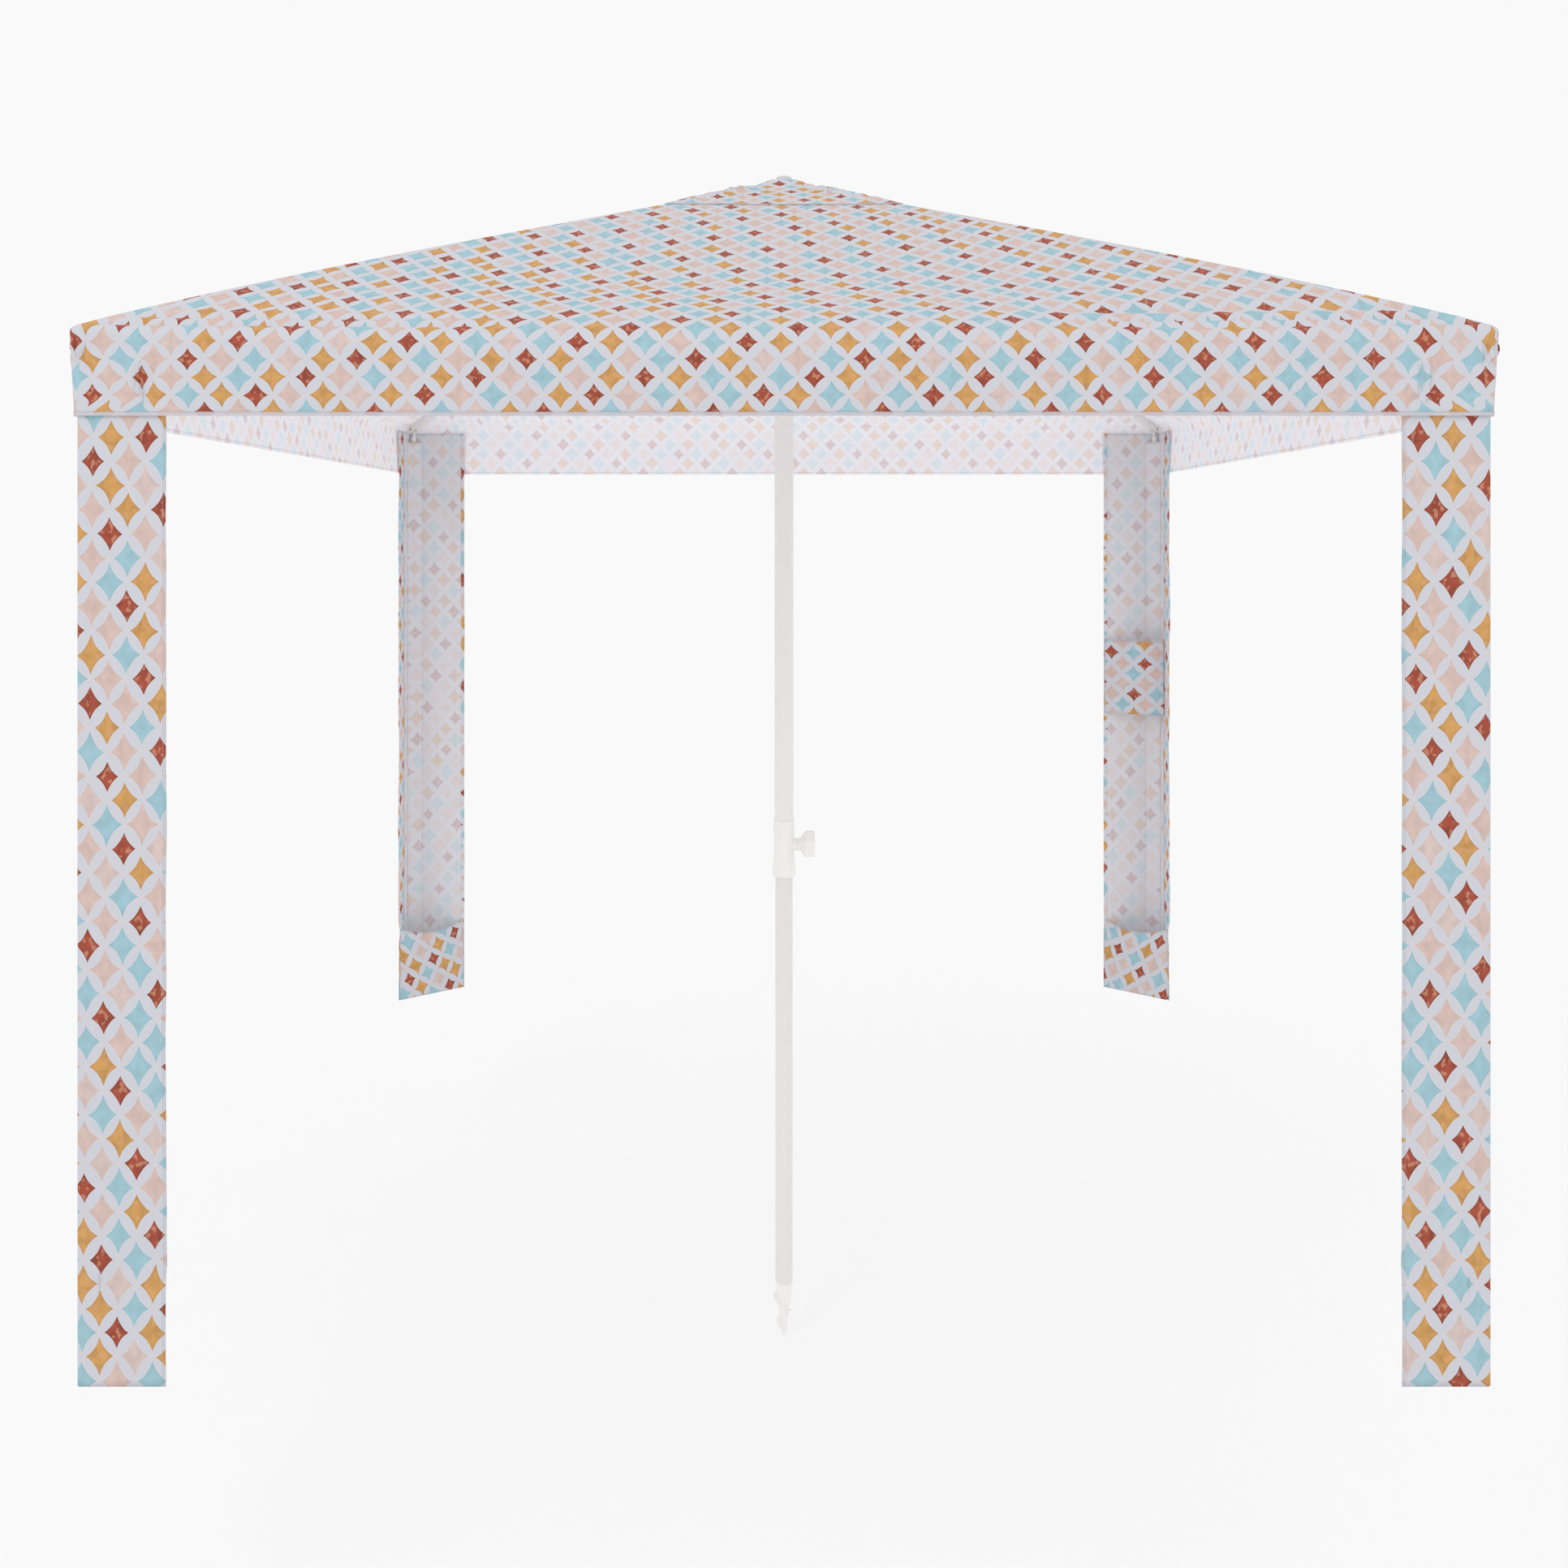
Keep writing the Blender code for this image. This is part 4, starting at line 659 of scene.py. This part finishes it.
def canopySide(side):
    look = canopyLook
    rows = [("roof", step) for step in stepsTo(look["roofRows"])]
    rows += [("turn", i / look["turnRows"]) for i in range(look["turnRows"])]
    rows += [("valance", i / look["valanceRows"]) for i in range(look["valanceRows"])]
    rows += [("hem", height) for height in look["hemRows"]]
    half = stepsTo(look["columns"]) + [1.0]
    shares = [-share for share in half[:0:-1]] + half
    points, uvs, edges = [], [], []
    for row in rows:
        for share in shares:
            reach, across, height, length = canopyPoint(side, share, row)
            edges.append((length, length))
            drawn = (across + gathering(across, height)) / look["cellAcross"]
            uvs.append((drawn + look["acrossShift"], printLength(length) + look["rowShift"]))
            reach, height = standOff(row, reach, height)
            points.append(turnedTo(side, *cornerPull(share * reach, reach), height))
    piece = pieceFrom("whole_" + side, points, gridFaces(len(rows), len(shares)), uvs, edges)
    return clothOf(piece, canopyPrint, canopyInside), len(points)


def halfOf(whole, name, way, layer):
    # one half of a finished sheet, closed at the cut, with the whole sheet's shading
    # layer: how many points each of the sheet's two faces has
    mesh = whole.data
    maps = {}
    for given in mesh.uv_layers:
        maps[given.name] = {loop.vertex_index: tuple(entry.uv) for loop, entry in zip(mesh.loops, given.data)}
    keep = [face for face in mesh.polygons if face.center.dot(way) > 0]
    faces = [(tuple(face.vertices), face.material_index) for face in keep]
    edges = {(a, b) for face, _ in faces for a, b in zip(face, face[1:] + face[:1])}
    for a, b in sorted(edges):
        if a < layer and b < layer and (b, a) not in edges:
            faces.append(((b, a, a + layer, b + layer), 0))
    order = sorted({index for face, _ in faces for index in face})
    number = {old: new for new, old in enumerate(order)}
    places = [mesh.vertices[old].co for old in order]
    uvs, edges = ([maps[key][i] for i in order] for key in ("print", "edge"))
    made = pieceFrom(name, places, [[number[i] for i in face] for face, _ in faces], uvs, edges)
    for paint in mesh.materials:
        made.data.materials.append(paint)
    for face, (_, paint) in zip(made.data.polygons, faces):
        face.material_index = paint
    made.data.shade_smooth()
    made.data.normals_split_custom_set_from_vertices([mesh.vertices[old].normal for old in order])
    return made


def wayAlong(side, hand):
    angle = math.radians(sideAngles[side])
    return Vector((-math.sin(angle), math.cos(angle), 0)) * hand


def followFrame(piece):
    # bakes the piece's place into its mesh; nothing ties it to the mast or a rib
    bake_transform(piece)


stitchLook = {
    "pitch": 0.0042,
    "length": 0.0030,
    "thick": 0.0006,
    "fromHem": 0.0045,
    "out": 0.0001,
    "steps": 240,
    "reach": 0.988,  # how much of the side's half width is sewn
}


def stitchTree():
    # turns each edge into a row of small bars of thread
    tree = bpy.data.node_groups.new("stitches", "GeometryNodeTree")
    face = tree.interface
    face.new_socket("Geometry", in_out="INPUT", socket_type="NodeSocketGeometry")
    for label in ("Pitch", "Length", "Thick"):
        socket = face.new_socket(label, in_out="INPUT", socket_type="NodeSocketFloat")
        socket.default_value = stitchLook[label.lower()]
    face.new_socket("Thread", in_out="INPUT", socket_type="NodeSocketMaterial")
    face.new_socket("Geometry", in_out="OUTPUT", socket_type="NodeSocketGeometry")
    kinds = {
        "given": "NodeGroupInput",
        "toCurve": "GeometryNodeMeshToCurve",
        "spread": "GeometryNodeResampleCurve",
        "size": "ShaderNodeCombineXYZ",
        "stitch": "GeometryNodeMeshCube",
        "tangent": "GeometryNodeInputTangent",
        "turn": "FunctionNodeAlignRotationToVector",
        "toPoints": "GeometryNodeInstanceOnPoints",
        "real": "GeometryNodeRealizeInstances",
        "finish": "GeometryNodeSetMaterial",
        "result": "NodeGroupOutput",
    }
    made = {key: tree.nodes.new(kind) for key, kind in kinds.items()}
    made["spread"].mode = "LENGTH"
    made["turn"].axis = "Z"
    wires = [
        ("given", "Geometry", "toCurve", 0),
        ("toCurve", 0, "spread", "Curve"),
        ("given", "Pitch", "spread", "Length"),
        ("given", "Thick", "size", 0),
        ("given", "Thick", "size", 1),
        ("given", "Length", "size", 2),
        ("size", 0, "stitch", "Size"),
        ("spread", 0, "toPoints", "Points"),
        ("stitch", 0, "toPoints", "Instance"),
        ("tangent", 0, "turn", "Vector"),
        ("turn", 0, "toPoints", "Rotation"),
        ("toPoints", 0, "real", 0),
        ("real", 0, "finish", 0),
        ("given", "Thread", "finish", "Material"),
        ("finish", 0, "result", 0),
    ]
    for source, fromSocket, target, toSocket in wires:
        tree.links.new(made[source].outputs[fromSocket], made[target].inputs[toSocket])
    return tree


stitches = stitchTree()


def stitchLine(name, points):
    # sews along a line of points
    mesh = bpy.data.meshes.new(name)
    mesh.from_pydata(points, [(i, i + 1) for i in range(len(points) - 1)], [])
    piece = link(bpy.data.objects.new(name, mesh))
    step = piece.modifiers.new("Stitches", "NODES")
    step.node_group = stitches
    for item in stitches.interface.items_tree:
        if item.in_out == "INPUT" and item.name == "Thread":
            step[item.identifier] = threadPaint
    return settled(piece)


def hemPoints(side, hand):
    points = []
    for i in range(stitchLook["steps"] + 1):
        share = hand * i / stitchLook["steps"] * stitchLook["reach"]
        reach, _, height, _ = canopyPoint(side, share, ("hem", stitchLook["fromHem"]))
        reach += tent["clothStand"] + tent["cloth"] + stitchLook["out"]
        points.append(turnedTo(side, *cornerPull(share * reach, reach), height))
    return points


for side in sideAngles:
    whole, layer = canopySide(side)
    for hand in (-1, 1):
        label = f"{side}_{'a' if hand < 0 else 'b'}"
        piece = halfOf(whole, "canopy_" + label, wayAlong(side, hand), layer)
        seam = stitchLine("hem_stitch_" + label, hemPoints(side, hand))
        for one in (piece, seam):
            followFrame(one)
        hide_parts("roof_" + side, "valance_" + side)
    bpy.data.objects.remove(whole, do_unlink=True)
print("canopy made")


# The vent cap

capLook = {
    "half": 0.2237,
    "hole": 0.008,
    "lift": 0.0016,
    "hemLift": 0.0003,
    "columns": 56,
    "rows": 48,
    "sag": 0.9,
    "swell": 0.0016,
    "cellDown": 0.052,
    "acrossShift": 0.2,
    "sideShift": 7,
    "hem": 0.0055,
    "hemStep": 0.0003,
    # gathers beside each ridge: height, and at which share of the side's half width
    "gather": 0.0136,
    "gatherAt": 0.84,
    "gatherWide": 0.16,
    # one sewn fold on each side: height, place, half width, and where it ends
    "fold": 0.0055,
    "foldAt": 0.70,
    "foldWide": 0.007,
    "foldEnd": 0.16,
    "foldSides": {"front": 1.0, "right": 0.4, "back": 1.0, "left": 0.4},
    # bumps on the ridges: height, how many in a metre, and where they begin
    "bump": 0.0095,
    "bumps": 42,
    "bumpFrom": 0.060,
    # the middle is drawn up against the finial's foot
    "seat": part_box("finial_cap")[1][2] - 0.0105,
    "seatGap": 0.0002,
    "seatReach": 0.0195,
    "seatBlend": 0.040,
    "flat": (0.487, 0.487),
    "cut": 0.226,
}


def capHeight(number, side, reach, share, step):
    # number: the side's place in the round; step: 0 at the hole, 1 at the hem
    look = capLook
    t = reach / tent["half"]
    height = ridgeHeight(t) - look["sag"] * roofSag(t) * (1 - share * share)
    height += tent["clothStand"] + tent["cloth"] * 1.6
    height += look["lift"] + (look["hemLift"] - look["lift"]) * smooth((step - 0.5) / 0.5)
    height += look["swell"] * noiseAt(share * 3 + number * 9, step * 3.0) * step * (1 - share * share)
    height += look["hemStep"] if reach > look["half"] - look["hem"] else 0
    along = smooth((step - 0.2) / 0.25) * smooth((1 - step) / 0.15)
    gather = hump(abs(share) - look["gatherAt"], look["gatherWide"]) * along
    height += look["gather"] * gather * abs(noiseAt(share * 11 + number * 5, step * 5.5, 6.0))
    along = smooth((reach - 0.02) / 0.03) * smooth((look["foldEnd"] - reach) / 0.05)
    fold = hump((share - look["foldAt"]) * reach, look["foldWide"]) * along
    height += look["fold"] * fold * look["foldSides"][side]
    # both sides of a ridge share its bumps
    ridge = (number + (1 if share > 0 else 0)) % len(sideAngles)
    bump = max(0.0, noiseAt(reach * look["bumps"], ridge * 7.0 + 3.0)) * smooth((abs(share) - 0.72) / 0.2)
    height += look["bump"] * bump * smooth((reach - look["bumpFrom"]) / 0.03) * smooth((1 - step) / 0.1)
    seat = look["seat"] - tent["cloth"] * 1.1 - look["seatGap"]
    pressed = 1 - max(0.0, min(1.0, (reach - look["seatReach"]) / look["seatBlend"]))
    return height + (seat - height) * pressed * pressed


def capPrint(number, across, reach):
    down = -reach * tent["slope"] / capLook["cellDown"]
    return across / canopyLook["cellAcross"] + capLook["acrossShift"], down + number * capLook["sideShift"]


def ventCap():
    columns, rows = capLook["columns"], capLook["rows"]
    points, uvs, edges = [], [], []
    wide = len(sideAngles) * columns
    for j in range(rows + 1):
        reach = capLook["hole"] + (capLook["half"] - capLook["hole"]) * j / rows
        for number, side in enumerate(sideAngles):
            for i in range(columns):
                share = 2 * i / columns - 1
                height = capHeight(number, side, reach, share, j / rows)
                points.append(turnedTo(side, share * reach, reach, height))
                uvs.append(capPrint(number, share * reach, reach))
                edges.append((capLook["half"] - reach,) * 2)
    piece = pieceFrom("vent_cap_cloth", points, gridFaces(rows + 1, wide, closed=True), uvs, edges)
    # the map starts again at each side, so that no face stretches over a ridge
    layer = piece.data.uv_layers["print"]
    for face in piece.data.polygons:
        numbers = [piece.data.loops[k].vertex_index % wide for k in face.loop_indices]
        overSeam = max(numbers) - min(numbers) > 2
        number = len(sideAngles) - 1 if overSeam else min(numbers) // columns
        for k in face.loop_indices:
            index = piece.data.loops[k].vertex_index
            if (index % wide) // columns != number:
                reach = max(abs(points[index][0]), abs(points[index][1]))
                layer.data[k].uv = capPrint(number, reach, reach)
    return clothOf(piece, canopyPrint, canopyInside)


cap = ventCap()
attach(cap, "mast")
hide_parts("vent_cap")
print("cap made")


# Legs

legLook = {
    "outer": 0.990,
    "width": 0.126,
    "backWidth": 0.1434,
    "stripWide": 0.044,
    "stripGap": 0.0002,
    "top": 1.465,
    "poleAt": 0.9797,
    "sleeve": 0.0094,
    "sleeveTop": 1.440,
    "sleeveLift": 0.002,
    "sleeveSteps": 12,
    "round": 0.006,
    "roundSteps": 6,
    "rows": 130,
    "across": 22,
    "cellAcross": 0.0494,
    "cellDown": 0.0677,
    "backCellDown": 0.0564,
    "rowShift": 0.39,
    "lean": 0.013,
    "drift": 0.0030,  # how far the flanges' free edges wander
    "ripple": 0.0012,
    "swell": 0.0016,
    "sideIn": 0.0012,
    # dents above the sand pocket: depth, height and its spread, place across and its spread
    "dents": [(0.0052, 0.172, 0.020, 0.85, 0.22), (0.0030, 0.145, 0.012, 0.35, 0.25)],
    "turnedHem": 0.16,  # how much narrower the map shows the side flange's turned hem
    "hemUneven": 0.02,
    "farFromHem": 0.05,
    "seeds": {"front_left": 1.0, "front_right": 5.0, "back_left": 9.0, "back_right": 13.0},
}


def flangeWidth(corner):
    # of the flange that faces the front or the back
    return legLook["backWidth"] if corners[corner][1] > 0 else legLook["width"]


def legPath(corner):
    # round the corner, from the free edge of one flange to that of the other
    # each point: x, y, 0 to 1 towards the free edge, and the part: 0, the bend 0.5, or 1
    count, size = legLook["across"], legLook["round"]
    edge = legLook["outer"] - tent["cloth"]
    bend = edge - size
    free = legLook["outer"] - flangeWidth(corner)
    sideFree = legLook["outer"] - legLook["width"]
    path = []
    for i in range(count):
        k = 1 - i / count
        path.append((bend - (bend - free) * k, edge, k, 0))
    for i in range(legLook["roundSteps"] + 1):
        angle = math.pi / 2 * (1 - i / legLook["roundSteps"])
        path.append((bend + size * math.cos(angle), bend + size * math.sin(angle), 0, 0.5))
    for i in range(1, count + 1):
        k = i / count
        path.append((edge, bend - (bend - sideFree) * k, k, 1))
    return path


def legShape(corner, height, calm, point):
    # a point of the path as it hangs at this height
    look = legLook
    seed = look["seeds"][corner]
    x, y, k, part = point
    drift = look["drift"] * noiseAt(height * 5.5, seed, part * 3.0)
    drift = (drift + look["ripple"] * noiseAt(height * 17, seed, part * 5.0)) * k * k * calm
    swell = look["swell"] * noiseAt(height * 9, k * 2.0, seed + part)
    swell *= math.sin(math.pi * min(1, k * 1.1)) * calm
    push = drift + swell
    for depth, middle, tall, across, wide in look["dents"]:
        push -= depth * hump(height - middle, tall) * hump(k - across, wide)
    sideIn = look["sideIn"] * noiseAt(height * 7, seed + 2, part) * smooth(k * 3) * calm
    if part == 0:
        return x + sideIn, y + push
    if part == 1:
        return x + push, y + sideIn
    return x, y


def legPrintAt(corner, along, height):
    # along: from the cover's middle
    look = legLook
    back = corners[corner][1] > 0
    across = (along + look["lean"] * (look["top"] - height)) / look["cellAcross"]
    down = height / look["backCellDown" if back else "cellDown"]
    return across + look["seeds"][corner], down + look["rowShift"]


def legCover(corner):
    look = legLook
    right, back = corners[corner]
    turn = right * (1 if back < 0 else -1)
    wide = {0: flangeWidth(corner), 1: look["width"]}
    path = legPath(corner)
    lengths = [0.0]
    for p, q in zip(path, path[1:]):
        lengths.append(lengths[-1] + math.hypot(q[0] - p[0], q[1] - p[1]))
    middle = lengths[-1] / 2
    points, uvs, edges = [], [], []
    for j in range(look["rows"] + 1):
        height = look["top"] * (1 - j / look["rows"])
        calm = smooth(j / look["rows"] * 10) * smooth((height + 0.05) / 0.12)
        for point, length in zip(path, lengths):
            x, y = legShape(corner, height, calm, point)
            points.append((x * right, y * back, height))
            uvs.append(legPrintAt(corner, (length - middle) * turn, height))
            _, _, k, part = point
            distance = wide[part] * (1 - k) if part in wide else look["farFromHem"]
            turned = distance
            # the flange along the side has a wide, uneven turned hem
            if part == 1:
                turned *= look["turnedHem"] + look["hemUneven"] * noiseAt(height * 9, look["seeds"][corner])
            edges.append((turned, distance))
    faces = gridFaces(look["rows"] + 1, len(path))
    # a strip sewn slantwise over the inner corner holds the pole
    first = len(points)
    far = look["outer"] - tent["cloth"] - look["stripGap"]
    near = 2 * look["poleAt"] - look["sleeve"] * math.sqrt(2) - far
    count = look["sleeveSteps"]
    strip = [near + (far - near) * i / count for i in range(count + 1)]
    for j in range(look["rows"] + 1):
        height = look["sleeveTop"] * (1 - j / look["rows"])
        for x in strip:
            points.append((x * right, (near + far - x) * back, height + look["sleeveLift"]))
            along = x - (look["outer"] - wide[0]) - middle
            uvs.append(legPrintAt(corner, along * turn, height))
            edges.append((look["farFromHem"],) * 2)
    faces += [tuple(first + i for i in face) for face in gridFaces(look["rows"] + 1, len(strip))]
    if right * back > 0:
        faces = [face[::-1] for face in faces]
    piece = pieceFrom("leg_cloth_" + corner, points, faces, uvs, edges)
    return clothOf(piece, legPrint, legInside)


for corner in corners:
    cover = legCover(corner)
    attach(cover, "leg_" + corner)
    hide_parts("leg_cover_" + corner)
print("leg covers made")


# Pockets

pocketLook = {
    "sand": {
        "low": 0.0,
        "height": 0.182,
        "dip": 0.018,
        "bulge": 0.013,
        "depth": 0.122,
        "cell": (0.051, 0.067),
        "tilt": 0.30,
        "frontFlat": (0.175, 0.275),
        "frontCut": 0.037,
        "backFlat": (0.188, 0.275),
        "backCut": 0.040,
    },
    "store": {
        "low": 0.726,
        "height": 0.196,
        "dip": 0.004,
        "bulge": 0.005,
        "depth": 0.078,
        "cell": (0.060, 0.055),
        "tilt": 0.0,
        "backFlat": (0.162, 0.25),
        "backCut": 0.036,
    },
    "columns": 26,
    "rows": 20,
    "floorRows": 5,
    "floorDown": 0.06,
    "notch": 0.032,
    "inset": 0.0023,  # from the leg's outer face
    "startIn": 0.002,
    "lift": 0.0010,
    "ripple": 0.002,
    "rowShift": 0.4,
    "thick": 0.0008,
}


def pocketCloth(name, kind, corner):
    look = pocketLook[kind]
    right, back = corners[corner]
    near = legLook["outer"] - pocketLook["inset"]
    start = Vector((legLook["outer"] - flangeWidth(corner) + pocketLook["startIn"], near))
    end = Vector((near, near - look["depth"]))
    backStart = Vector((near - pocketLook["notch"], near))
    backEnd = Vector((near, near - pocketLook["notch"]))
    inward = Vector((end.y - start.y, start.x - end.x)).normalized()
    seed = 17.0 if kind == "store" else right * 3.0 + back * 5.0
    points, uvs, edges = [], [], []
    heights = [1 - j / pocketLook["rows"] for j in range(pocketLook["rows"] + 1)]
    floorRows = pocketLook["floorRows"]
    wide = (end - start).length
    for j in range(len(heights) + floorRows):
        for i in range(pocketLook["columns"] + 1):
            u = i / pocketLook["columns"]
            crown = 4 * u * (1 - u)
            if j < len(heights):
                up = heights[j]
                z = look["low"] + (look["height"] - look["dip"] * crown) * up
                swell = look["bulge"] * crown * (1 - (1 - up) ** 2)
                swell += pocketLook["ripple"] * noiseAt(u * 4, up * 3, seed) * crown * up
                at = start.lerp(end, u) + inward * swell
                down = look["height"] * (1 - up)
            else:
                k = (j - len(heights) + 1) / floorRows
                z = look["low"]
                at = start.lerp(end, u).lerp(backStart.lerp(backEnd, u), k)
                down = look["height"] + k * pocketLook["floorDown"]
            points.append((at.x * right, at.y * back, z + pocketLook["lift"]))
            across = (u - 0.5) * wide
            ua = across * math.cos(look["tilt"]) + down * math.sin(look["tilt"])
            va = -across * math.sin(look["tilt"]) + down * math.cos(look["tilt"])
            uvs.append((ua / look["cell"][0] + seed, va / look["cell"][1] + pocketLook["rowShift"]))
            edges.append((down, down))
    faces = gridFaces(len(heights) + floorRows, pocketLook["columns"] + 1)
    if right * back < 0:
        faces = [face[::-1] for face in faces]
    piece = pieceFrom(name, points, faces, uvs, edges)
    return clothOf(piece, pocketPrint, pocketInside, pocketLook["thick"])


def hangPocket(name, kind, corner, replaced):
    bag = pocketCloth(name, kind, corner)
    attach(bag, "leg_" + corner)
    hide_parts(replaced)


for corner in corners:
    hangPocket("sand_cloth_" + corner, "sand", corner, "sand_pocket_" + corner)
hangPocket("storage_cloth", "store", "back_right", "storage_pocket")
print("pockets made")


# Hard parts keep their shape and get their finish

finishes = {
    "finial_cap": milkyPlastic,
    "upper_tube": whiteEnamel,
    # the lower tube's enamel is darkened with painted shade
    "lower_tube": lowerEnamelPaintedShade,
    "tube_plug": greyPlastic,
    "clamp_screw": steelPaint,
    "hub_ring": steelPaint,
    "runner_catch": steelPaint,
}
for name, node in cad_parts.items():
    paint = finishes.get(name)
    if paint is None:
        paint = whitePlastic
        if "_pin_" in name:
            paint = steelPaint
        elif name.startswith("strut_clip"):
            paint = greyPlastic
        elif name.startswith(("rib_", "strut_", "leg_pole")):
            paint = whiteRod
    if not node.material_slots:
        node.data.materials.append(paint)
    for place in node.material_slots:
        place.material = paint
print("hard parts finished")


# Floor, light and camera

studio = {
    "floorZ": -0.432,
    "floorRadius": 60,
    "ground": (249, 249, 249),
    "shadeTo": 1.6,  # how far from the middle the floor shows its shadows in full
    "shadeFade": 2.4,
    "shownNear": 0.55,  # how much of the floor is plain ground colour, near and further off
    "shownMore": 0.45,
    "sky": 0.98,
    "eye": (0, -3.203, 1.184),
    "lens": 36.35,
    "sensor": 36,
    "shift": -0.1558,
}
# place, aim, size and power
lamps = {
    "key": ((-2.6, -4.2, 4.2), (0, 0, 1.2), 2.6, 34),
    "fill": ((3.4, -3.4, 2.6), (0, 0, 1.0), 2.8, 12),
}


def backdrop():
    paint = Paint("floorPaint", 0.9)
    paint.shader.inputs["Base Color"].default_value = (*shown(*studio["ground"]), 1)
    paint.shader.inputs["Specular IOR Level"].default_value = 0.0
    path = paint.node("ShaderNodeLightPath")
    light = paint.node("ShaderNodeEmission", None, {"Color": shown(*studio["ground"]), "Strength": 1.0})
    place = paint.node("ShaderNodeTexCoord").outputs["Object"]
    distance = paint.num("ShaderNodeVectorMath", {"operation": "LENGTH"}, {0: place}, out=1)
    far = distance.rise(studio["shadeTo"], 1 / studio["shadeFade"])
    seen = Val(paint, path.outputs["Is Camera Ray"]).most(Val(paint, path.outputs["Is Glossy Ray"]))
    seen = seen.most(Val(paint, path.outputs["Is Transmission Ray"]))
    share = seen * (far * studio["shownMore"] + studio["shownNear"])
    mixed = paint.node("ShaderNodeMixShader", None, {0: share, 1: paint.shader.outputs[0], 2: light.outputs[0]})
    paint.links.new(mixed.outputs[0], paint.nodes["Material Output"].inputs["Surface"])
    mesh = bpy.data.meshes.new("floor")
    work = bmesh.new()
    bmesh.ops.create_circle(work, cap_ends=True, radius=studio["floorRadius"], segments=64)
    work.to_mesh(mesh)
    work.free()
    mesh.materials.append(paint.material)
    floor = link(bpy.data.objects.new("floor", mesh))
    floor.location.z = studio["floorZ"]


def sky():
    world = bpy.data.worlds.new("studio")
    scene.world = world
    world.use_nodes = True
    nodes, links = world.node_tree.nodes, world.node_tree.links
    base = nodes["Background"]
    base.inputs[0].default_value = (1, 1, 1, 1)
    base.inputs[1].default_value = studio["sky"]
    plainSky = nodes.new("ShaderNodeBackground")
    plainSky.inputs[0].default_value = (*shown(*studio["ground"]), 1)
    # the camera, mirrors and glass see the plain sky, and the light comes from the white one
    path = nodes.new("ShaderNodeLightPath")
    seen = path.outputs["Is Camera Ray"]
    for ray in ("Is Glossy Ray", "Is Transmission Ray"):
        most = nodes.new("ShaderNodeMath")
        most.operation = "MAXIMUM"
        links.new(seen, most.inputs[0])
        links.new(path.outputs[ray], most.inputs[1])
        seen = most.outputs[0]
    mixed = nodes.new("ShaderNodeMixShader")
    links.new(seen, mixed.inputs[0])
    links.new(base.outputs[0], mixed.inputs[1])
    links.new(plainSky.outputs[0], mixed.inputs[2])
    links.new(mixed.outputs[0], nodes["World Output"].inputs[0])


def lamp(name, place, aim, size, power):
    data = bpy.data.lights.new(name, "AREA")
    data.size = size
    data.energy = power
    made = link(bpy.data.objects.new(name, data))
    made.location = place
    made.rotation_euler = (Vector(aim) - Vector(place)).to_track_quat("-Z", "Y").to_euler()


backdrop()
sky()
for name, values in lamps.items():
    lamp(name, *values)
lens = bpy.data.cameras.new("camera")
lens.lens = studio["lens"]
lens.sensor_width = studio["sensor"]
lens.shift_y = studio["shift"]
camera = link(bpy.data.objects.new("camera", lens))
camera.location = studio["eye"]
camera.rotation_euler = (math.radians(90), 0, 0)
scene.camera = camera
scene.view_settings.view_transform = "Standard"
print("stage set")
